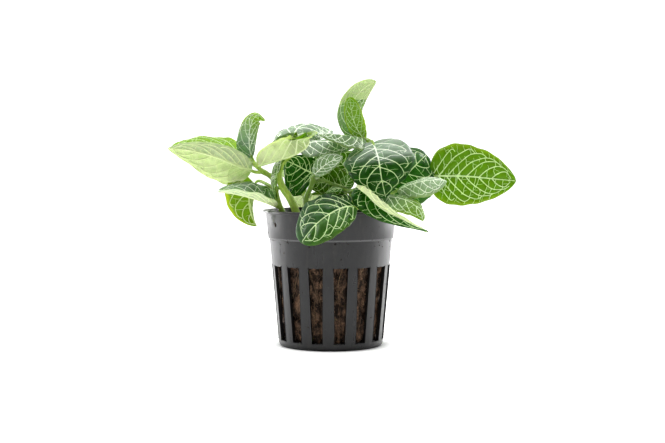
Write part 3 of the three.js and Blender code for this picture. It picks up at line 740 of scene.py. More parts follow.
def pot_floor():
    """Six sectors of a disc, each a fan of rays from the edge of its drain hole to the sector's
    edge, with a top, an underside and the walls of the holes."""
    edge = FOOT_RADIUS - 0.4
    slice_half = math.pi / DRAIN_COUNT
    corner = math.atan2(edge * math.sin(slice_half), edge * math.cos(slice_half) - DRAIN_RING)
    rays = np.concatenate(
        [
            np.linspace(-corner, corner, 14, endpoint=False),
            np.linspace(corner, math.pi, 12, endpoint=False),
            np.linspace(math.pi, 2 * math.pi - corner, 12, endpoint=False),
        ]
    )
    c, s = np.cos(rays), np.sin(rays)
    reach = -DRAIN_RING * c + np.sqrt(edge**2 - (DRAIN_RING * s) ** 2)
    lean = math.sin(slice_half) * DRAIN_RING
    with np.errstate(divide="ignore", invalid="ignore"):
        for way in (1, -1):
            to_side = lean / (way * math.cos(slice_half) * s - math.sin(slice_half) * c)
            reach = np.where(to_side > 0, np.minimum(reach, to_side), reach)
    length = lerp(DRAIN_RADIUS, reach, np.linspace(0, 1, 5)[:, None])
    x, y = DRAIN_RING + length * c, length * s
    top, low = (np.stack([x, y, np.full_like(x, z)], -1) for z in (FLOOR, 0.1))
    loop = np.concatenate([top, low[::-1]])
    rings, sides = loop.shape[:2]
    closed = np.concatenate([loop, loop[:1]])
    faces = ring_faces(rings + 1, sides)
    parts = []
    for k in range(DRAIN_COUNT):
        a = 2 * math.pi * k / DRAIN_COUNT
        spin = np.array([[math.cos(a), math.sin(a), 0], [-math.sin(a), math.cos(a), 0], [0, 0, 1]])
        parts.append(part(closed @ spin, faces))
    return parts


# ---- Growing plug ----


def plug_roughness(turn, z):
    """How far the plug's side lies behind the pot's wall, in mm: the sum of lattice noises, each
    with its cells round the plug, their height, a seed and a share, for long upright lumps, less
    deep cracks 1 - 3.2 |noise| and with fine grit."""
    laps = turn / (2 * np.pi)
    lumps = 0.0
    for cells, tall, seed, share in LUMP_LAYERS:
        lumps = lumps + lattice_noise(laps * cells, z / tall, seed, cells) * share
    cracks = 1 - np.abs(lattice_noise(laps * 58, z / 7.5, 8, 58)) * 3.2
    grit = lattice_noise(laps * 236, z / 0.55, 13, 236) * 0.2
    return np.clip(0.8 - 0.75 * lumps + 1.2 * np.clip(cracks, 0, 1) + grit, 0.25, 2.4)


def plug_body(stems):
    """The pot's inside radius less the roughness at each turn and height, closed below by a disc
    and above by a top that is the sum of lattice noises, raised by 0.8 exp(-(d/2.2)^2) at distance
    d from a stem and let down near its rim."""
    turn = np.linspace(0, 2 * np.pi, PLUG_TURNS, endpoint=False)
    side_z = np.concatenate([[FLOOR + 0.35], np.linspace(FLOOR + 0.6, 46.6, 150)])[:, None]
    side_r = inside_radius(side_z) - plug_roughness(turn[None], side_z)
    side_r = side_r - 1.1 * smooth((3 - side_z) / 2)
    top_r = np.linspace(1, 0, 44)[1:-1, None] * (side_r[-1:] - 0.2)
    x, y = top_r * np.cos(turn), top_r * np.sin(turn)
    mound = 0.0
    for cell, shift, seed, share in MOUND_LAYERS:
        mound = mound + share * lattice_noise(x / cell + shift, y / cell + shift, seed)
    for path, _ in stems:
        near = np.hypot(x - path[0][0], y - path[0][1])
        mound = mound + 0.8 * np.exp(-((near / 2.2) ** 2))
    top_z = PLUG_TOP_Z - 0.35 + mound * smooth((side_r[-1:] - top_r) / 2.5) - 0.9 * smooth(
        (top_r - 20) / 3
    )
    bottom_r = np.linspace(0, 1, 6)[1:-1, None] * side_r[:1]
    foot_z = side_z[0, 0]
    rings = [polar(bottom_r, turn, foot_z), polar(side_r, turn, side_z), polar(top_r, turn, top_z)]
    return capped_rings(np.concatenate(rings), np.array([[0, 0, foot_z], [0, 0, PLUG_TOP_Z]]))


def plug_threads(count, seed, length, radius, upright, sink, paint):
    """Threads that lie on the plug's side: each starts at a random turn and height, runs at its
    own slant and wanders by a few slow waves."""
    rng = np.random.default_rng(seed)
    t = np.linspace(-0.5, 0.5, 9)[None]
    long = rng.uniform(*length, (count, 1))
    slant = rng.normal(0, upright, (count, 1))
    z0 = rng.uniform(3, 45, (count, 1))
    turn0 = rng.uniform(0, 2 * np.pi, (count, 1))
    wander = rng.normal(0, 0.07, (count, 1)) * np.sin(5 * t + rng.uniform(0, 6, (count, 1)))
    z = np.clip(z0 + long * t * np.cos(slant), 2.2, 46.4)
    turn = turn0 + (long * t * np.sin(slant) + long * wander) / 21
    lift = rng.uniform(*sink, (count, 1)) + 0.2 * np.sin(9 * t + rng.uniform(0, 6, (count, 1)))
    r = inside_radius(z) - np.clip(plug_roughness(turn, z) - lift, 0.22, 3)
    return threads(polar(r, turn, z), rng.uniform(*radius, count), paint)


def top_litter(stems):
    """Crumbs and fibres on the top of the plug, kept off the stems."""
    rng = np.random.default_rng(LITTER_SEED)
    count = LITTER_GRAINS
    r = 22.0 * rng.uniform(0, 1, count) ** 0.5
    a = rng.uniform(0, 2 * np.pi, count)
    z = PLUG_TOP_Z + rng.uniform(-0.5, 0.35, count)
    spots = polar(r, a, z)
    clear = np.ones(count, bool)
    for path, radius in stems:
        clear &= np.hypot(spots[:, 0] - path[0][0], spots[:, 1] - path[0][1]) > radius[0] + 0.4
    crumbs = grains(spots[clear], rng.uniform(0.25, 0.85, clear.sum()), LITTER_SHAPE_SEED)
    count = LITTER_THREADS
    t = np.linspace(-0.5, 0.5, 7)[None]
    r = 20.0 * rng.uniform(0, 1, (count, 1)) ** 0.5
    a = rng.uniform(0, 2 * np.pi, (count, 1))
    way = rng.uniform(0, 2 * np.pi, (count, 1))
    long = rng.uniform(2, 6, (count, 1))
    bend = rng.normal(0, 1.2, (count, 1)) * (0.25 - t**2)
    x = r * np.cos(a) + long * t * np.cos(way) - bend * np.sin(way)
    y = r * np.sin(a) + long * t * np.sin(way) + bend * np.cos(way)
    z = PLUG_TOP_Z + 0.5 + rng.uniform(0, 0.6, (count, 1)) * (1 - 4 * t**2)
    return [crumbs, threads(np.stack([x, y, z], -1), rng.uniform(0.05, 0.1, count), 1)]


# ---- Leaf blades ----


def midrib(rib, u):
    """The cubic Bezier point (1-u)^3 A + 3(1-u)^2 u B + 3(1-u)u^2 C + u^3 D, and its direction."""
    a, b, c, d = np.asarray(rib, float)
    w = 1 - u
    point = w**3 * a + 3 * w**2 * u * b + 3 * w * u**2 * c + u**3 * d
    slope = w**2 * (b - a) + 2 * w * u * (c - b) + u**2 * (d - c)
    return point, unit(slope)


def outline(u, shape):
    """Half width as a share of the widest: u^base (1-u)^tip over its value at base/(base+tip)."""
    base, tip = shape
    widest = base / (base + tip)
    return u**base * (1 - u) ** tip / (widest**base * (1 - widest) ** tip)


def both_halves(pair):
    """The left half's grid turned round and put before the right half's, the midrib kept once."""
    return np.concatenate([pair[0][:, :0:-1], pair[1]], 1)


def both_faces(grid):
    """The grid followed by its mirror image, for the upper and then the lower face."""
    return np.concatenate([grid, grid[:, ::-1]], 1)


def blade_sheet(data, rng, cell):
    """The blade's middle surface on a grid, u along the midrib and v across. Each half starts
    along the cross direction at the midrib, bends up to its fold angle within the first
    millimetre and goes on bending by its curl angle to its edge: the point is the running sum of
    (cos, sin) of that angle. A slow wave lifts the edges."""
    rows = int(np.clip(np.linalg.norm(np.subtract(data["rib"][3], data["rib"][0])) / cell, 26, 96))
    wide = sum(data["half"])
    lanes = int(np.clip(wide / cell / 2, 10, 34))
    u = (1 - np.cos(np.pi * np.linspace(0, 1, rows))) / 2
    u = lerp(u, np.linspace(0, 1, rows), 0.55)[:, None]
    point, along = midrib(data["rib"], u)
    up = np.asarray(data["up"], float)
    up = unit(up - along * dot(along, up))
    turn = data.get("roll", (0, 0))
    roll = np.radians(lerp(turn[0], turn[1], u * u * (3 - 2 * u)))
    up = up * np.cos(roll) + np.cross(along, up) * np.sin(roll)
    right = np.cross(along, up)
    fold_tip = data.get("fold_tip", data["fold"])
    reach = np.linspace(0, 1, lanes + 1)[None]
    sheets, faces, widths = [], [], []
    shapes = data.get("shapes", (data.get("shape", (0.38, 0.72)),) * 2)
    for half, side in ((0, -1), (1, 1)):
        width = np.maximum(data["half"][half] * outline(u, shapes[half]), 0.04)
        scallop = 1 + 0.012 * np.sin(2 * np.pi * (5.5 * u + rng.uniform())) * smooth((1 - u) * 4)
        width = width * scallop
        fold = np.radians(lerp(data["fold"][half], fold_tip[half], u))
        curl = math.radians(data["curl"][half])
        slope = fold * smooth(reach * width / 0.9) + curl * reach
        step = np.diff(reach) * width
        middle = (slope[:, 1:] + slope[:, :-1]) / 2
        over = np.concatenate([0 * u, np.cumsum(np.cos(middle) * step, 1)], 1)[..., None]
        rise = np.concatenate([0 * u, np.cumsum(np.sin(middle) * step, 1)], 1)[..., None]
        sheet = point[:, None] + side * over * right[:, None] + rise * up[:, None]
        face = up[:, None] * np.cos(slope)[..., None]
        face = face - side * right[:, None] * np.sin(slope)[..., None]
        beat, phase = rng.uniform(2.2, 3.4), rng.uniform(0, 1)
        wave = 0.045 * width * reach**2.4 * np.sin(2 * np.pi * (beat * u + phase))
        sheet = sheet + (wave * smooth(u * 5) * smooth((1 - u) * 5))[..., None] * face
        sheets.append(sheet)
        faces.append(face)
        widths.append(np.broadcast_to(width, (rows, lanes + 1)))
    v = np.concatenate([-reach[0, :0:-1], reach[0]])
    return {
        "u": u[:, 0],
        "v": v,
        "points": both_halves(sheets),
        "normals": unit(both_halves(faces)),
        "width": both_halves(widths),
        "length": distances(point),
    }


def pick(sheet, u, v, what):
    """The sheet's points or normals at any u and v, straight between the grid's four nearest."""
    grid = sheet[what]
    i = np.interp(u, sheet["u"], np.arange(len(sheet["u"])))
    j = np.interp(v, sheet["v"], np.arange(len(sheet["v"])))
    i0 = np.clip(i.astype(int), 0, len(sheet["u"]) - 2)
    j0 = np.clip(j.astype(int), 0, len(sheet["v"]) - 2)
    s, t = i - i0, j - j0
    if grid.ndim == 3:
        s, t = s[..., None], t[..., None]
    low = lerp(grid[i0, j0], grid[i0, j0 + 1], t)
    return lerp(low, lerp(grid[i0 + 1, j0], grid[i0 + 1, j0 + 1], t), s)


def flat_place(sheet, u, v):
    """Millimetres along the midrib and out from it, as if the blade lay flat."""
    return np.stack([np.interp(u, sheet["u"], sheet["length"]), v * pick(sheet, u, v, "width")], -1)


# ---- Vein net ----

SIDE_STARTS = np.array([0.03, 0.11, 0.2, 0.31, 0.43, 0.57, 0.72])
SIDE_RUNS = np.array([0.26, 0.38, 0.44, 0.44, 0.41, 0.35, 0.23])
SIDE_REACH = np.array([0.9, 0.9, 0.87, 0.83, 0.79, 0.74, 0.62])
SIDE_BOW = np.array([1.5, 1.75, 1.85, 1.85, 1.8, 1.75, 1.7])


def side_veins(rng, count):
    """Side veins of one half: vein k leaves the midrib at u = start and, t from 0 to 1 along it,
    lies at u = start + run t and v = reach (1 - (1 - t)^bow). In its last part it turns down to
    meet the next vein."""
    every = np.arange(len(SIDE_STARTS))
    chosen = np.linspace(0, every[-1], count)
    start, run, reach, bow = (
        np.interp(chosen, every, row) for row in (SIDE_STARTS, SIDE_RUNS, SIDE_REACH, SIDE_BOW)
    )
    start = np.clip(start + rng.uniform(-0.014, 0.014, count), 0.01, 0.9)[:, None]
    run = (run * rng.uniform(0.94, 1.06, count))[:, None]
    run = np.minimum(run, 0.955 - start)
    reach = (reach * rng.uniform(0.97, 1.03, count))[:, None]
    t = np.linspace(0, 1, 36)[None]
    u = start + run * t
    v = reach * (1 - (1 - t) ** bow[:, None])
    wobble = rng.normal(0, 1, (count, 3))
    for k in range(3):
        v = v + 0.006 * wobble[:, k : k + 1] * np.sin((k + 2) * np.pi * t)
    for k in range(count - 2, -1, -1):
        meet = max(np.interp(u[k, -1], u[k + 1], v[k + 1]), 0.84 * v[k, -1])
        turn = np.clip((t[0] - 0.8) / 0.2, 0, 1) ** 1.7
        v[k] = lerp(v[k], min(meet, v[k, -1]), turn)
    v[-1] = v[-1] * (1 - 0.75 * np.clip((t[0] - 0.7) / 0.3, 0, 1) ** 1.6)
    return u, np.clip(v, 0, 0.97)


def cross_veins(sheet, rng, side, u_side, v_side, gap):
    """Thin veins across the bands between neighbouring veins, about one every gap millimetres.
    A band's bounds are the midrib, each side vein where it runs, and the margin. Some veins end
    free inside their band, and short links join neighbours in the wide bands."""
    total = sheet["length"][-1]
    grid_u = np.linspace(0.02, 0.975, 160)
    inner = [np.interp(grid_u, u, v, left=np.nan, right=np.nan) for u, v in zip(u_side, v_side)]
    lines = [0 * grid_u, *inner[::-1], 0 * grid_u + 1]
    made = []
    for low in range(len(lines) - 1):
        phase = rng.uniform(0, gap)
        stops = (phase + gap * np.arange(int(total / gap) + 1)) / total
        stops = stops + rng.normal(0, 0.13 * gap / total, len(stops))
        for u0 in stops[(stops > 0.03) & (stops < 0.965)]:
            column = np.array([np.interp(u0, grid_u, line) for line in lines])
            if np.isnan(column[low]):
                continue
            above = [v for v in column[low + 1 :] if not np.isnan(v) and v > column[low] + 0.02]
            if not above:
                continue
            v0, v1 = column[low], min(above)
            width = float(pick(sheet, u0, side * 0.5, "width"))
            span = (v1 - v0) * width
            margin = v1 > 0.985
            if span < 0.75 or (low == 0 and u0 < 0.06):
                continue
            if margin:
                v1 = v0 + (v1 - v0) * rng.uniform(0.55, 0.92)
            lean = rng.normal(0.01, 0.012) + 0.012 * (1 if low else 0)
            free = span > 1.8 and rng.uniform() < 0.34 and not margin
            if free and rng.uniform() < 0.5:
                v0, v1 = v1, v0
            end = v0 + (v1 - v0) * (rng.uniform(0.35, 0.7) if free else 1)
            made.append((u0, v0, u0 - lean, end, 0.55 if margin or free else 1.0))
            if span > 2.6 and rng.uniform() < 0.5:
                at = rng.uniform(0.35, 0.65)
                u_mid, v_mid = u0 - lean * at, v0 + (end - v0) * at
                hop = gap / total * rng.uniform(0.4, 0.9)
                made.append((u_mid, v_mid, u_mid + hop, v_mid + rng.normal(0, 0.05), 0.55))
    a = np.array(made)
    t = np.linspace(0, 1, 6)[None]
    bend = rng.normal(0, 0.05, (len(a), 1)) * np.sin(np.pi * t)
    jag = rng.normal(0, 0.02, (len(a), 6)) * np.sin(np.pi * t) ** 0.5
    du, dv = a[:, 2:3] - a[:, 0:1], a[:, 3:4] - a[:, 1:2]
    u = a[:, 0:1] + du * t + (bend + jag) * 0.35 * (np.abs(dv) + 0.1)
    v = a[:, 1:2] + dv * t + jag * 0.3
    return np.clip(u, 0.005, 0.985), np.clip(v, 0, 0.975), a[:, 4]


def vein_net(sheet, rng, pairs, gap, bold):
    """All the vein lines of a blade as (u, v, half width) arrays, grouped by point count."""
    half = sheet["width"].max()
    scale = float(np.clip(half / 9, 0.45, 1.1))
    u = np.linspace(0, 0.985, 50)[None]
    v = 0.008 * np.sin(2 * np.pi * (1.5 * u + rng.uniform()))
    size = lerp(0.44, 0.13, u) * scale * bold
    net = {"rib": [(u, v * smooth(u * 8), size)], "side": [], "cross": []}
    for side in (-1, 1):
        u, v = side_veins(rng, pairs)
        t = np.linspace(0, 1, u.shape[1])[None]
        size = lerp(0.27, 0.15, t**0.8) * scale * np.linspace(0.85, 0.8, pairs)[:, None] * bold
        net["side"].append((u, side * v, size))
        if half > 2.5:
            u, v, strength = cross_veins(sheet, rng, side, u, v, gap * scale**0.6)
            taper = lerp(1.0, 0.72, np.linspace(0, 1, 6))
            size = 0.115 * scale**0.5 * strength[:, None] * taper * bold
            net["cross"].append((u, side * v, size))
    return {
        key: tuple(np.concatenate(group) for group in zip(*lines)) if lines else None
        for key, lines in net.items()
    }


def ridges(sheet, line, thick, raise_up, raise_under, rank):
    """Vein ridges on both faces of a blade: six-sided bars along the lines, their middle edge
    raised above the face and their sides buried in it."""
    u, v, half = line
    middle = pick(sheet, u, v, "points")
    face = unit(pick(sheet, u, v, "normals"))
    along = np.gradient(middle, axis=1)
    across = unit(np.cross(face, along))
    many, steps = u.shape
    t = np.linspace(0, 1, steps)
    over = np.array([-1, -0.45, 0.45, 1, 0.45, -0.45])[:, None]
    up = np.array([0, 1, 1, 0, -1, -1])[:, None]
    lift = np.where(up > 0, thick / 2 + raise_up, thick / 2 + raise_under) * up
    rings = (
        middle[:, :, None]
        + over * 1.55 * half[..., None, None] * across[:, :, None]
        + lift * face[:, :, None]
    )
    caps = np.array([[3, 2, 1, 0], [5, 4, 3, 0]])
    ends = np.concatenate([caps, caps[:, ::-1] + (steps - 1) * 6])
    faces = np.concatenate([ring_faces(steps, 6), ends])
    turned = pick(sheet, u, v, "under")[..., None]
    below = (np.array([0.5, 0, 0, 0.5, 1, 1]) * turned).ravel()
    along_share = np.broadcast_to(t[None, :, None], (many, steps, 6)).ravel()
    # The share of painted sheen under the vein, so that the vein is painted paler with it.
    bloom = pick(sheet, u, v, "bloom").ravel().repeat(6)
    return part(
        rings,
        repeat_faces(faces, many, steps * 6),
        under=below,
        along=along_share,
        bloom=bloom,
        rank=np.full(rings.size // 3, rank),
    )


def quilt(sheet, net, puff):
    """Lifts the blade between its veins by puff (1 - exp(-(d/0.75)^2)), d being the distance to
    the nearest vein, and half as much again over the wide bands between side veins."""
    out = sheet["v"] * sheet["width"]
    flat = np.stack(np.broadcast_arrays(sheet["length"][:, None], out), -1).reshape(-1, 2)

    def distance(lines):
        """From each point of the flat blade to the nearest point of the lines."""
        spots = [flat_place(sheet, u, v).reshape(-1, 2) for u, v in lines]
        spots = np.concatenate(spots)
        best = np.full(len(flat), 1e9)
        for chunk in np.array_split(spots, max(1, len(spots) // 400)):
            gap = (flat**2).sum(1)[:, None] + (chunk**2).sum(1)[None] - 2 * flat @ chunk.T
            best = np.minimum(best, gap.min(1))
        return np.sqrt(np.maximum(best, 0)).reshape(sheet["width"].shape)

    main = [(net[k][0], net[k][1]) for k in ("rib", "side")]
    far = distance(main)
    near = far
    if net["cross"]:
        t = np.linspace(0, 1, 14)
        old = np.linspace(0, 1, net["cross"][0].shape[1])
        k = np.clip(np.searchsorted(old, t) - 1, 0, len(old) - 2)
        s = (t - old[k]) / (old[k + 1] - old[k])
        fine = [lerp(net["cross"][n][:, k], net["cross"][n][:, k + 1], s) for n in (0, 1)]
        near = np.minimum(far, distance([tuple(fine)]))
    calm = smooth((1 - np.abs(sheet["v"])) * 9)[None]
    lift = puff * (1 - np.exp(-((near / 0.75) ** 2))) + 1.5 * puff * (
        1 - np.exp(-((far / 1.9) ** 2))
    )
    sheet["points"] = sheet["points"] + (lift * calm)[..., None] * sheet["normals"]
    sheet["near"] = near


def halves(sheet, base, tip):
    """A value for each point of the blade: from base to tip along the midrib by 3u^2 - 2u^3, the
    left half's value and the right half's blended over a tenth of the width at the midrib."""
    base, tip = np.broadcast_to(base, 2), np.broadcast_to(tip, 2)
    left, right = (lerp(base[k], tip[k], smooth(sheet["u"]))[:, None] for k in (0, 1))
    return lerp(left, right, smooth((sheet["v"][None] + 0.1) / 0.2))


def blade_part(sheet, thick, young, tone):
    """The blade as a closed sheet: the grid moved up and down by half the thickness along its
    normals, thinner towards the edge, and joined round the edge."""
    half = (thick / 2 * (1 - 0.75 * np.abs(sheet["v"]) ** 8))[None, :, None]
    upper = sheet["points"] + sheet["normals"] * half
    lower = (sheet["points"] - sheet["normals"] * half)[:, ::-1]
    rings = np.concatenate([upper, lower], 1)
    rows, sides = rings.shape[:2]
    lanes = sides // 2
    under = np.concatenate([0 * sheet["under"], sheet["under"][:, ::-1]], 1)
    tall = np.broadcast_to(sheet["u"][:, None], (rows, lanes))
    wide = np.broadcast_to(np.abs(sheet["v"])[None], (rows, lanes))
    rim = np.maximum(wide, 1 - (1 - tall) * 14)
    faces = np.concatenate([ring_faces(rows, sides), zip_caps(rows, sides)])
    return part(
        rings,
        faces,
        under=under,
        near=both_faces(sheet["near"]),
        rim=both_faces(rim),
        young=np.full(rings.shape[:2], young),
        tone=both_faces(tone),
        bloom=both_faces(sheet["bloom"]),
    )


def stalk_path(data):
    """The leaf stalk's line: out of the stem, in behind the blade's base and into the midrib."""
    start, along = midrib(data["rib"], np.zeros((1, 1)))
    inside, _ = midrib(data["rib"], np.full((1, 1), 0.1))
    before = start - 1.6 * along
    return smooth_path([data["from"], before[0], start[0], inside[0]], 22)


# ---- Shader nodes ----


def set_socket(tree, socket, value):
    """Links an output to the socket, or sets a constant on it."""
    if isinstance(value, bpy.types.NodeSocket):
        tree.links.new(value, socket)
    else:
        socket.default_value = value


def add_node(tree, kind, inputs=None, **settings):
    """A node with its settings and its inputs, each a constant or another node's output."""
    node = tree.nodes.new(kind)
    for key, value in settings.items():
        setattr(node, key, value)
    for key, value in (inputs or {}).items():
        set_socket(tree, node.inputs[key], value)
    return node


def rgba(colour):
    """The colour with an alpha of 1."""
    return (*colour[:3], 1.0)


def scaled(colour, share):
    """The colour with each channel times share, no more than 1."""
    return rgba([min(c * share, 1.0) for c in colour[:3]])


def mix_colours(tree, share, a, b, blend="MIX"):
    """A Mix node for colours; share, a and b are constants or outputs."""
    node = tree.nodes.new("ShaderNodeMix")
    node.data_type = "RGBA"
    node.blend_type = blend
    for index, value in ((0, share), (6, a), (7, b)):
        set_socket(tree, node.inputs[index], value)
    return node.outputs[2]


def layered(tree, colour, *layers):
    """The colour with others laid over it, each with its own share."""
    for share, top in layers:
        colour = mix_colours(tree, share, colour, rgba(top))
    return colour


def math_node(tree, operation, a, b=0.0, clamp=False):
    """One Math node; a and b are constants or outputs."""
    node = add_node(tree, "ShaderNodeMath", {0: a, 1: b}, operation=operation)
    node.use_clamp = clamp
    return node.outputs[0]


def ranged(tree, value, low, high, to_low=0.0, to_high=1.0):
    """Maps low..high to to_low..to_high, held inside them."""
    node = add_node(
        tree,
        "ShaderNodeMapRange",
        {0: value, 1: low, 2: high, 3: to_low, 4: to_high},
        interpolation_type="SMOOTHSTEP",
    )
    return node.outputs[0]


def attribute(tree, name):
    """A float value per point, by name."""
    return add_node(
        tree, "ShaderNodeAttribute", attribute_name=name, attribute_type="GEOMETRY"
    ).outputs["Fac"]


def object_place(tree):
    """The point in the object's own coordinates, in metres."""
    return add_node(tree, "ShaderNodeTexCoord").outputs["Object"]


def noise(tree, place, scale, detail, rough):
    """Noise from 0 to 1 at so many waves per metre."""
    values = {"Vector": place, "Scale": scale, "Detail": detail, "Roughness": rough}
    return add_node(tree, "ShaderNodeTexNoise", values).outputs["Fac"]


def stretched(tree, place, rise):
    """The place with its height scaled, so that a pattern runs upright."""
    values = {"Vector": place, "Scale": (1, 1, rise)}
    return add_node(tree, "ShaderNodeMapping", values).outputs[0]


def coordinate(tree, vector, axis):
    """One coordinate of a vector."""
    return add_node(tree, "ShaderNodeSeparateXYZ", {"Vector": vector}).outputs[axis]


def new_group(name, ins, outs):
    """An empty shader node group with its sockets, and its two end nodes."""
    tree = bpy.data.node_groups.new(name, "ShaderNodeTree")
    for socket, kind, value in ins:
        made = tree.interface.new_socket(socket, in_out="INPUT", socket_type=kind)
        if value is not None:
            made.default_value = value
    for socket, kind in outs:
        tree.interface.new_socket(socket, in_out="OUTPUT", socket_type=kind)
    return tree, tree.nodes.new("NodeGroupInput").outputs, tree.nodes.new("NodeGroupOutput").inputs


def mottling_group():
    """Blotches and grain: two colours mixed by coarse noise, darkened and lightened by fine
    noise. Puts out the colour, the mask and a height."""
    name = "mottling"
    if name in bpy.data.node_groups:
        return bpy.data.node_groups[name]
    tree, ins, outs = new_group(
        name,
        [
            ("Vector", "NodeSocketVector", None),
            ("Coarse", "NodeSocketFloat", 200.0),
            ("Fine", "NodeSocketFloat", 2000.0),
            ("Low", "NodeSocketColor", (0, 0, 0, 1)),
            ("High", "NodeSocketColor", (1, 1, 1, 1)),
            ("Grain", "NodeSocketFloat", 0.3),
        ],
        [("Color", "NodeSocketColor"), ("Mask", "NodeSocketFloat"), ("Height", "NodeSocketFloat")],
    )
    coarse = ranged(tree, noise(tree, ins["Vector"], ins["Coarse"], 4.0, 0.6), 0.32, 0.68)
    fine = noise(tree, ins["Vector"], ins["Fine"], 3.0, 0.6)
    mixed = mix_colours(tree, coarse, ins["Low"], ins["High"])
    grey = ranged(tree, fine, 0.25, 0.75, 0.55, 1.45)
    tint = add_node(tree, "ShaderNodeCombineColor", {0: grey, 1: grey, 2: grey}).outputs[0]
    coloured = mix_colours(tree, ins["Grain"], mixed, tint, "MULTIPLY")
    tree.links.new(coloured, outs["Color"])
    tree.links.new(coarse, outs["Mask"])
    height = math_node(tree, "ADD", math_node(tree, "MULTIPLY", coarse, 0.5), fine)
    tree.links.new(height, outs["Height"])
    return tree


def mottled(tree, place, coarse, fine, low, high, grain=0.3):
    """The mottling group placed in a material with its own values."""
    node = tree.nodes.new("ShaderNodeGroup")
    node.node_tree = mottling_group()
    tree.links.new(place, node.inputs["Vector"])
    values = {"Coarse": coarse, "Fine": fine, "Low": low, "High": high, "Grain": grain}
    for key, value in values.items():
        set_socket(tree, node.inputs[key], value)
    return node.outputs


def new_material(name, roughness, **constants):
    """A material with a Principled shader and its output; constants are set on its sockets."""
    material = bpy.data.materials.new(name)
    material.use_nodes = True
    tree = material.node_tree
    tree.nodes.clear()
    shader = add_node(tree, "ShaderNodeBsdfPrincipled", {"Roughness": roughness})
    for key, value in constants.items():
        shader.inputs[key.replace("_", " ")].default_value = value
    out = add_node(tree, "ShaderNodeOutputMaterial", {"Surface": shader.outputs[0]})
    return material, tree, shader, out


def surface(tree, shader, colour, rough, height, strength, distance):
    """Links the colour and the roughness, and a Bump node from the height into the Normal."""
    values = {"Height": height, "Strength": strength, "Distance": distance}
    node = add_node(tree, "ShaderNodeBump", values)
    tree.links.new(colour, shader.inputs["Base Color"])
    tree.links.new(rough, shader.inputs["Roughness"])
    tree.links.new(node.outputs[0], shader.inputs["Normal"])


def see_through(tree, shader, out, colour, share):
    """Mixes the shader with light that comes through in the given colour. Light that is already
    inside the sheet leaves it with no more colour or loss."""
    inside = add_node(tree, "ShaderNodeNewGeometry").outputs["Backfacing"]
    tint = mix_colours(tree, inside, colour, (1, 1, 1, 1))
    glow = add_node(tree, "ShaderNodeBsdfTranslucent", {"Color": tint})
    passed = math_node(tree, "MAXIMUM", inside, share)
    values = {0: passed, 1: shader.outputs[0], 2: glow.outputs[0]}
    mixed = add_node(tree, "ShaderNodeMixShader", values)
    tree.links.new(mixed.outputs[0], out.inputs["Surface"])


# ---- Materials ----


def pot_plastic(settings):
    """Black moulded plastic, satin, with faint flow marks, dried splashes and dust, and a paler
    line along the step that is a painted highlight."""
    material, tree, shader, _ = new_material("pot_plastic", 0.42, Specular_IOR_Level=0.42)
    place = object_place(tree)
    dark = settings.plastic
    look = mottled(tree, place, 90.0, 2600.0, scaled(dark, 0.86), scaled(dark, 1.2), 0.25)
    streak = noise(tree, stretched(tree, place, 0.18), 420.0, 4.0, 0.6)
    spots = ranged(tree, noise(tree, place, 700.0, 2.0, 0.5), 0.68, 0.76)
    dust = math_node(tree, "MULTIPLY", ranged(tree, streak, 0.5, 0.8), 0.22)
    dust = math_node(tree, "ADD", dust, math_node(tree, "MULTIPLY", spots, 0.25), True)
    # Painted highlight: a paler line along the step's edge, where the light catches it.
    step_z = (COLLAR_FOOT_Z - STEP_DROP / 2) * MM
    gap = math_node(tree, "SUBTRACT", coordinate(tree, place, "Z"), step_z)
    gap = math_node(tree, "ABSOLUTE", gap)
    painted_step_highlight = math_node(tree, "MULTIPLY", ranged(tree, gap, 0.2 * MM, 0.45 * MM, 1.0, 0.0), 0.8)
    layers = (dust, (0.075, 0.068, 0.06)), (painted_step_highlight, (0.11, 0.11, 0.11))
    colour = layered(tree, look["Color"], *layers)
    rough = ranged(tree, streak, 0.3, 0.7, 0.27, 0.38)
    rough = math_node(tree, "ADD", rough, math_node(tree, "MULTIPLY", spots, 0.2))
    surface(tree, shader, colour, rough, look["Height"], 0.12, 0.00006)
    return material


def plug_peat(settings):
    """Peat and coir: dry brown lumps, near-black patches that stand for the hollows as painted
    shade, rusty patches and pale specks.
    """
    material, tree, shader, _ = new_material("plug_peat", 0.95, Specular_IOR_Level=0.2)
    place = object_place(tree)
    dry = settings.peat
    upright = stretched(tree, place, 0.62)
    look = mottled(tree, upright, 420.0, 2600.0, scaled(dry, 0.12), scaled(dry, 1.5), 1.0)
    rust = ranged(tree, noise(tree, place, 300.0, 3.0, 0.6), 0.5, 0.7)
    # Painted shade: near-black patches where the hollows between the lumps would be.
    painted_hollow_shade = ranged(tree, noise(tree, upright, 340.0, 3.0, 0.65), 0.5, 0.58, 0.0, 0.85)
    specks = ranged(tree, noise(tree, place, 1500.0, 2.0, 0.6), 0.64, 0.7, 0.0, 0.6)
    colour = layered(
        tree,
        look["Color"],
        (math_node(tree, "MULTIPLY", rust, 0.55), (0.15, 0.085, 0.05)),
        (painted_hollow_shade, (0.011, 0.007, 0.005)),
        (specks, (0.36, 0.25, 0.15)),
    )
    rough = ranged(tree, look["Mask"], 0, 1, 0.8, 0.98)
    surface(tree, shader, colour, rough, look["Height"], 0.7, 0.0003)
    return material


def thread_material(name, low, high):
    """A dull thread: two tones along it and a fine grain."""
    material, tree, shader, _ = new_material(name, 0.8, Specular_IOR_Level=0.3)
    place = object_place(tree)
    look = mottled(tree, place, 260.0, 3000.0, low, high, 0.5)
    rough = ranged(tree, look["Mask"], 0, 1, 0.65, 0.9)
    surface(tree, shader, look["Color"], rough, look["Height"], 0.4, 0.0001)
    return material


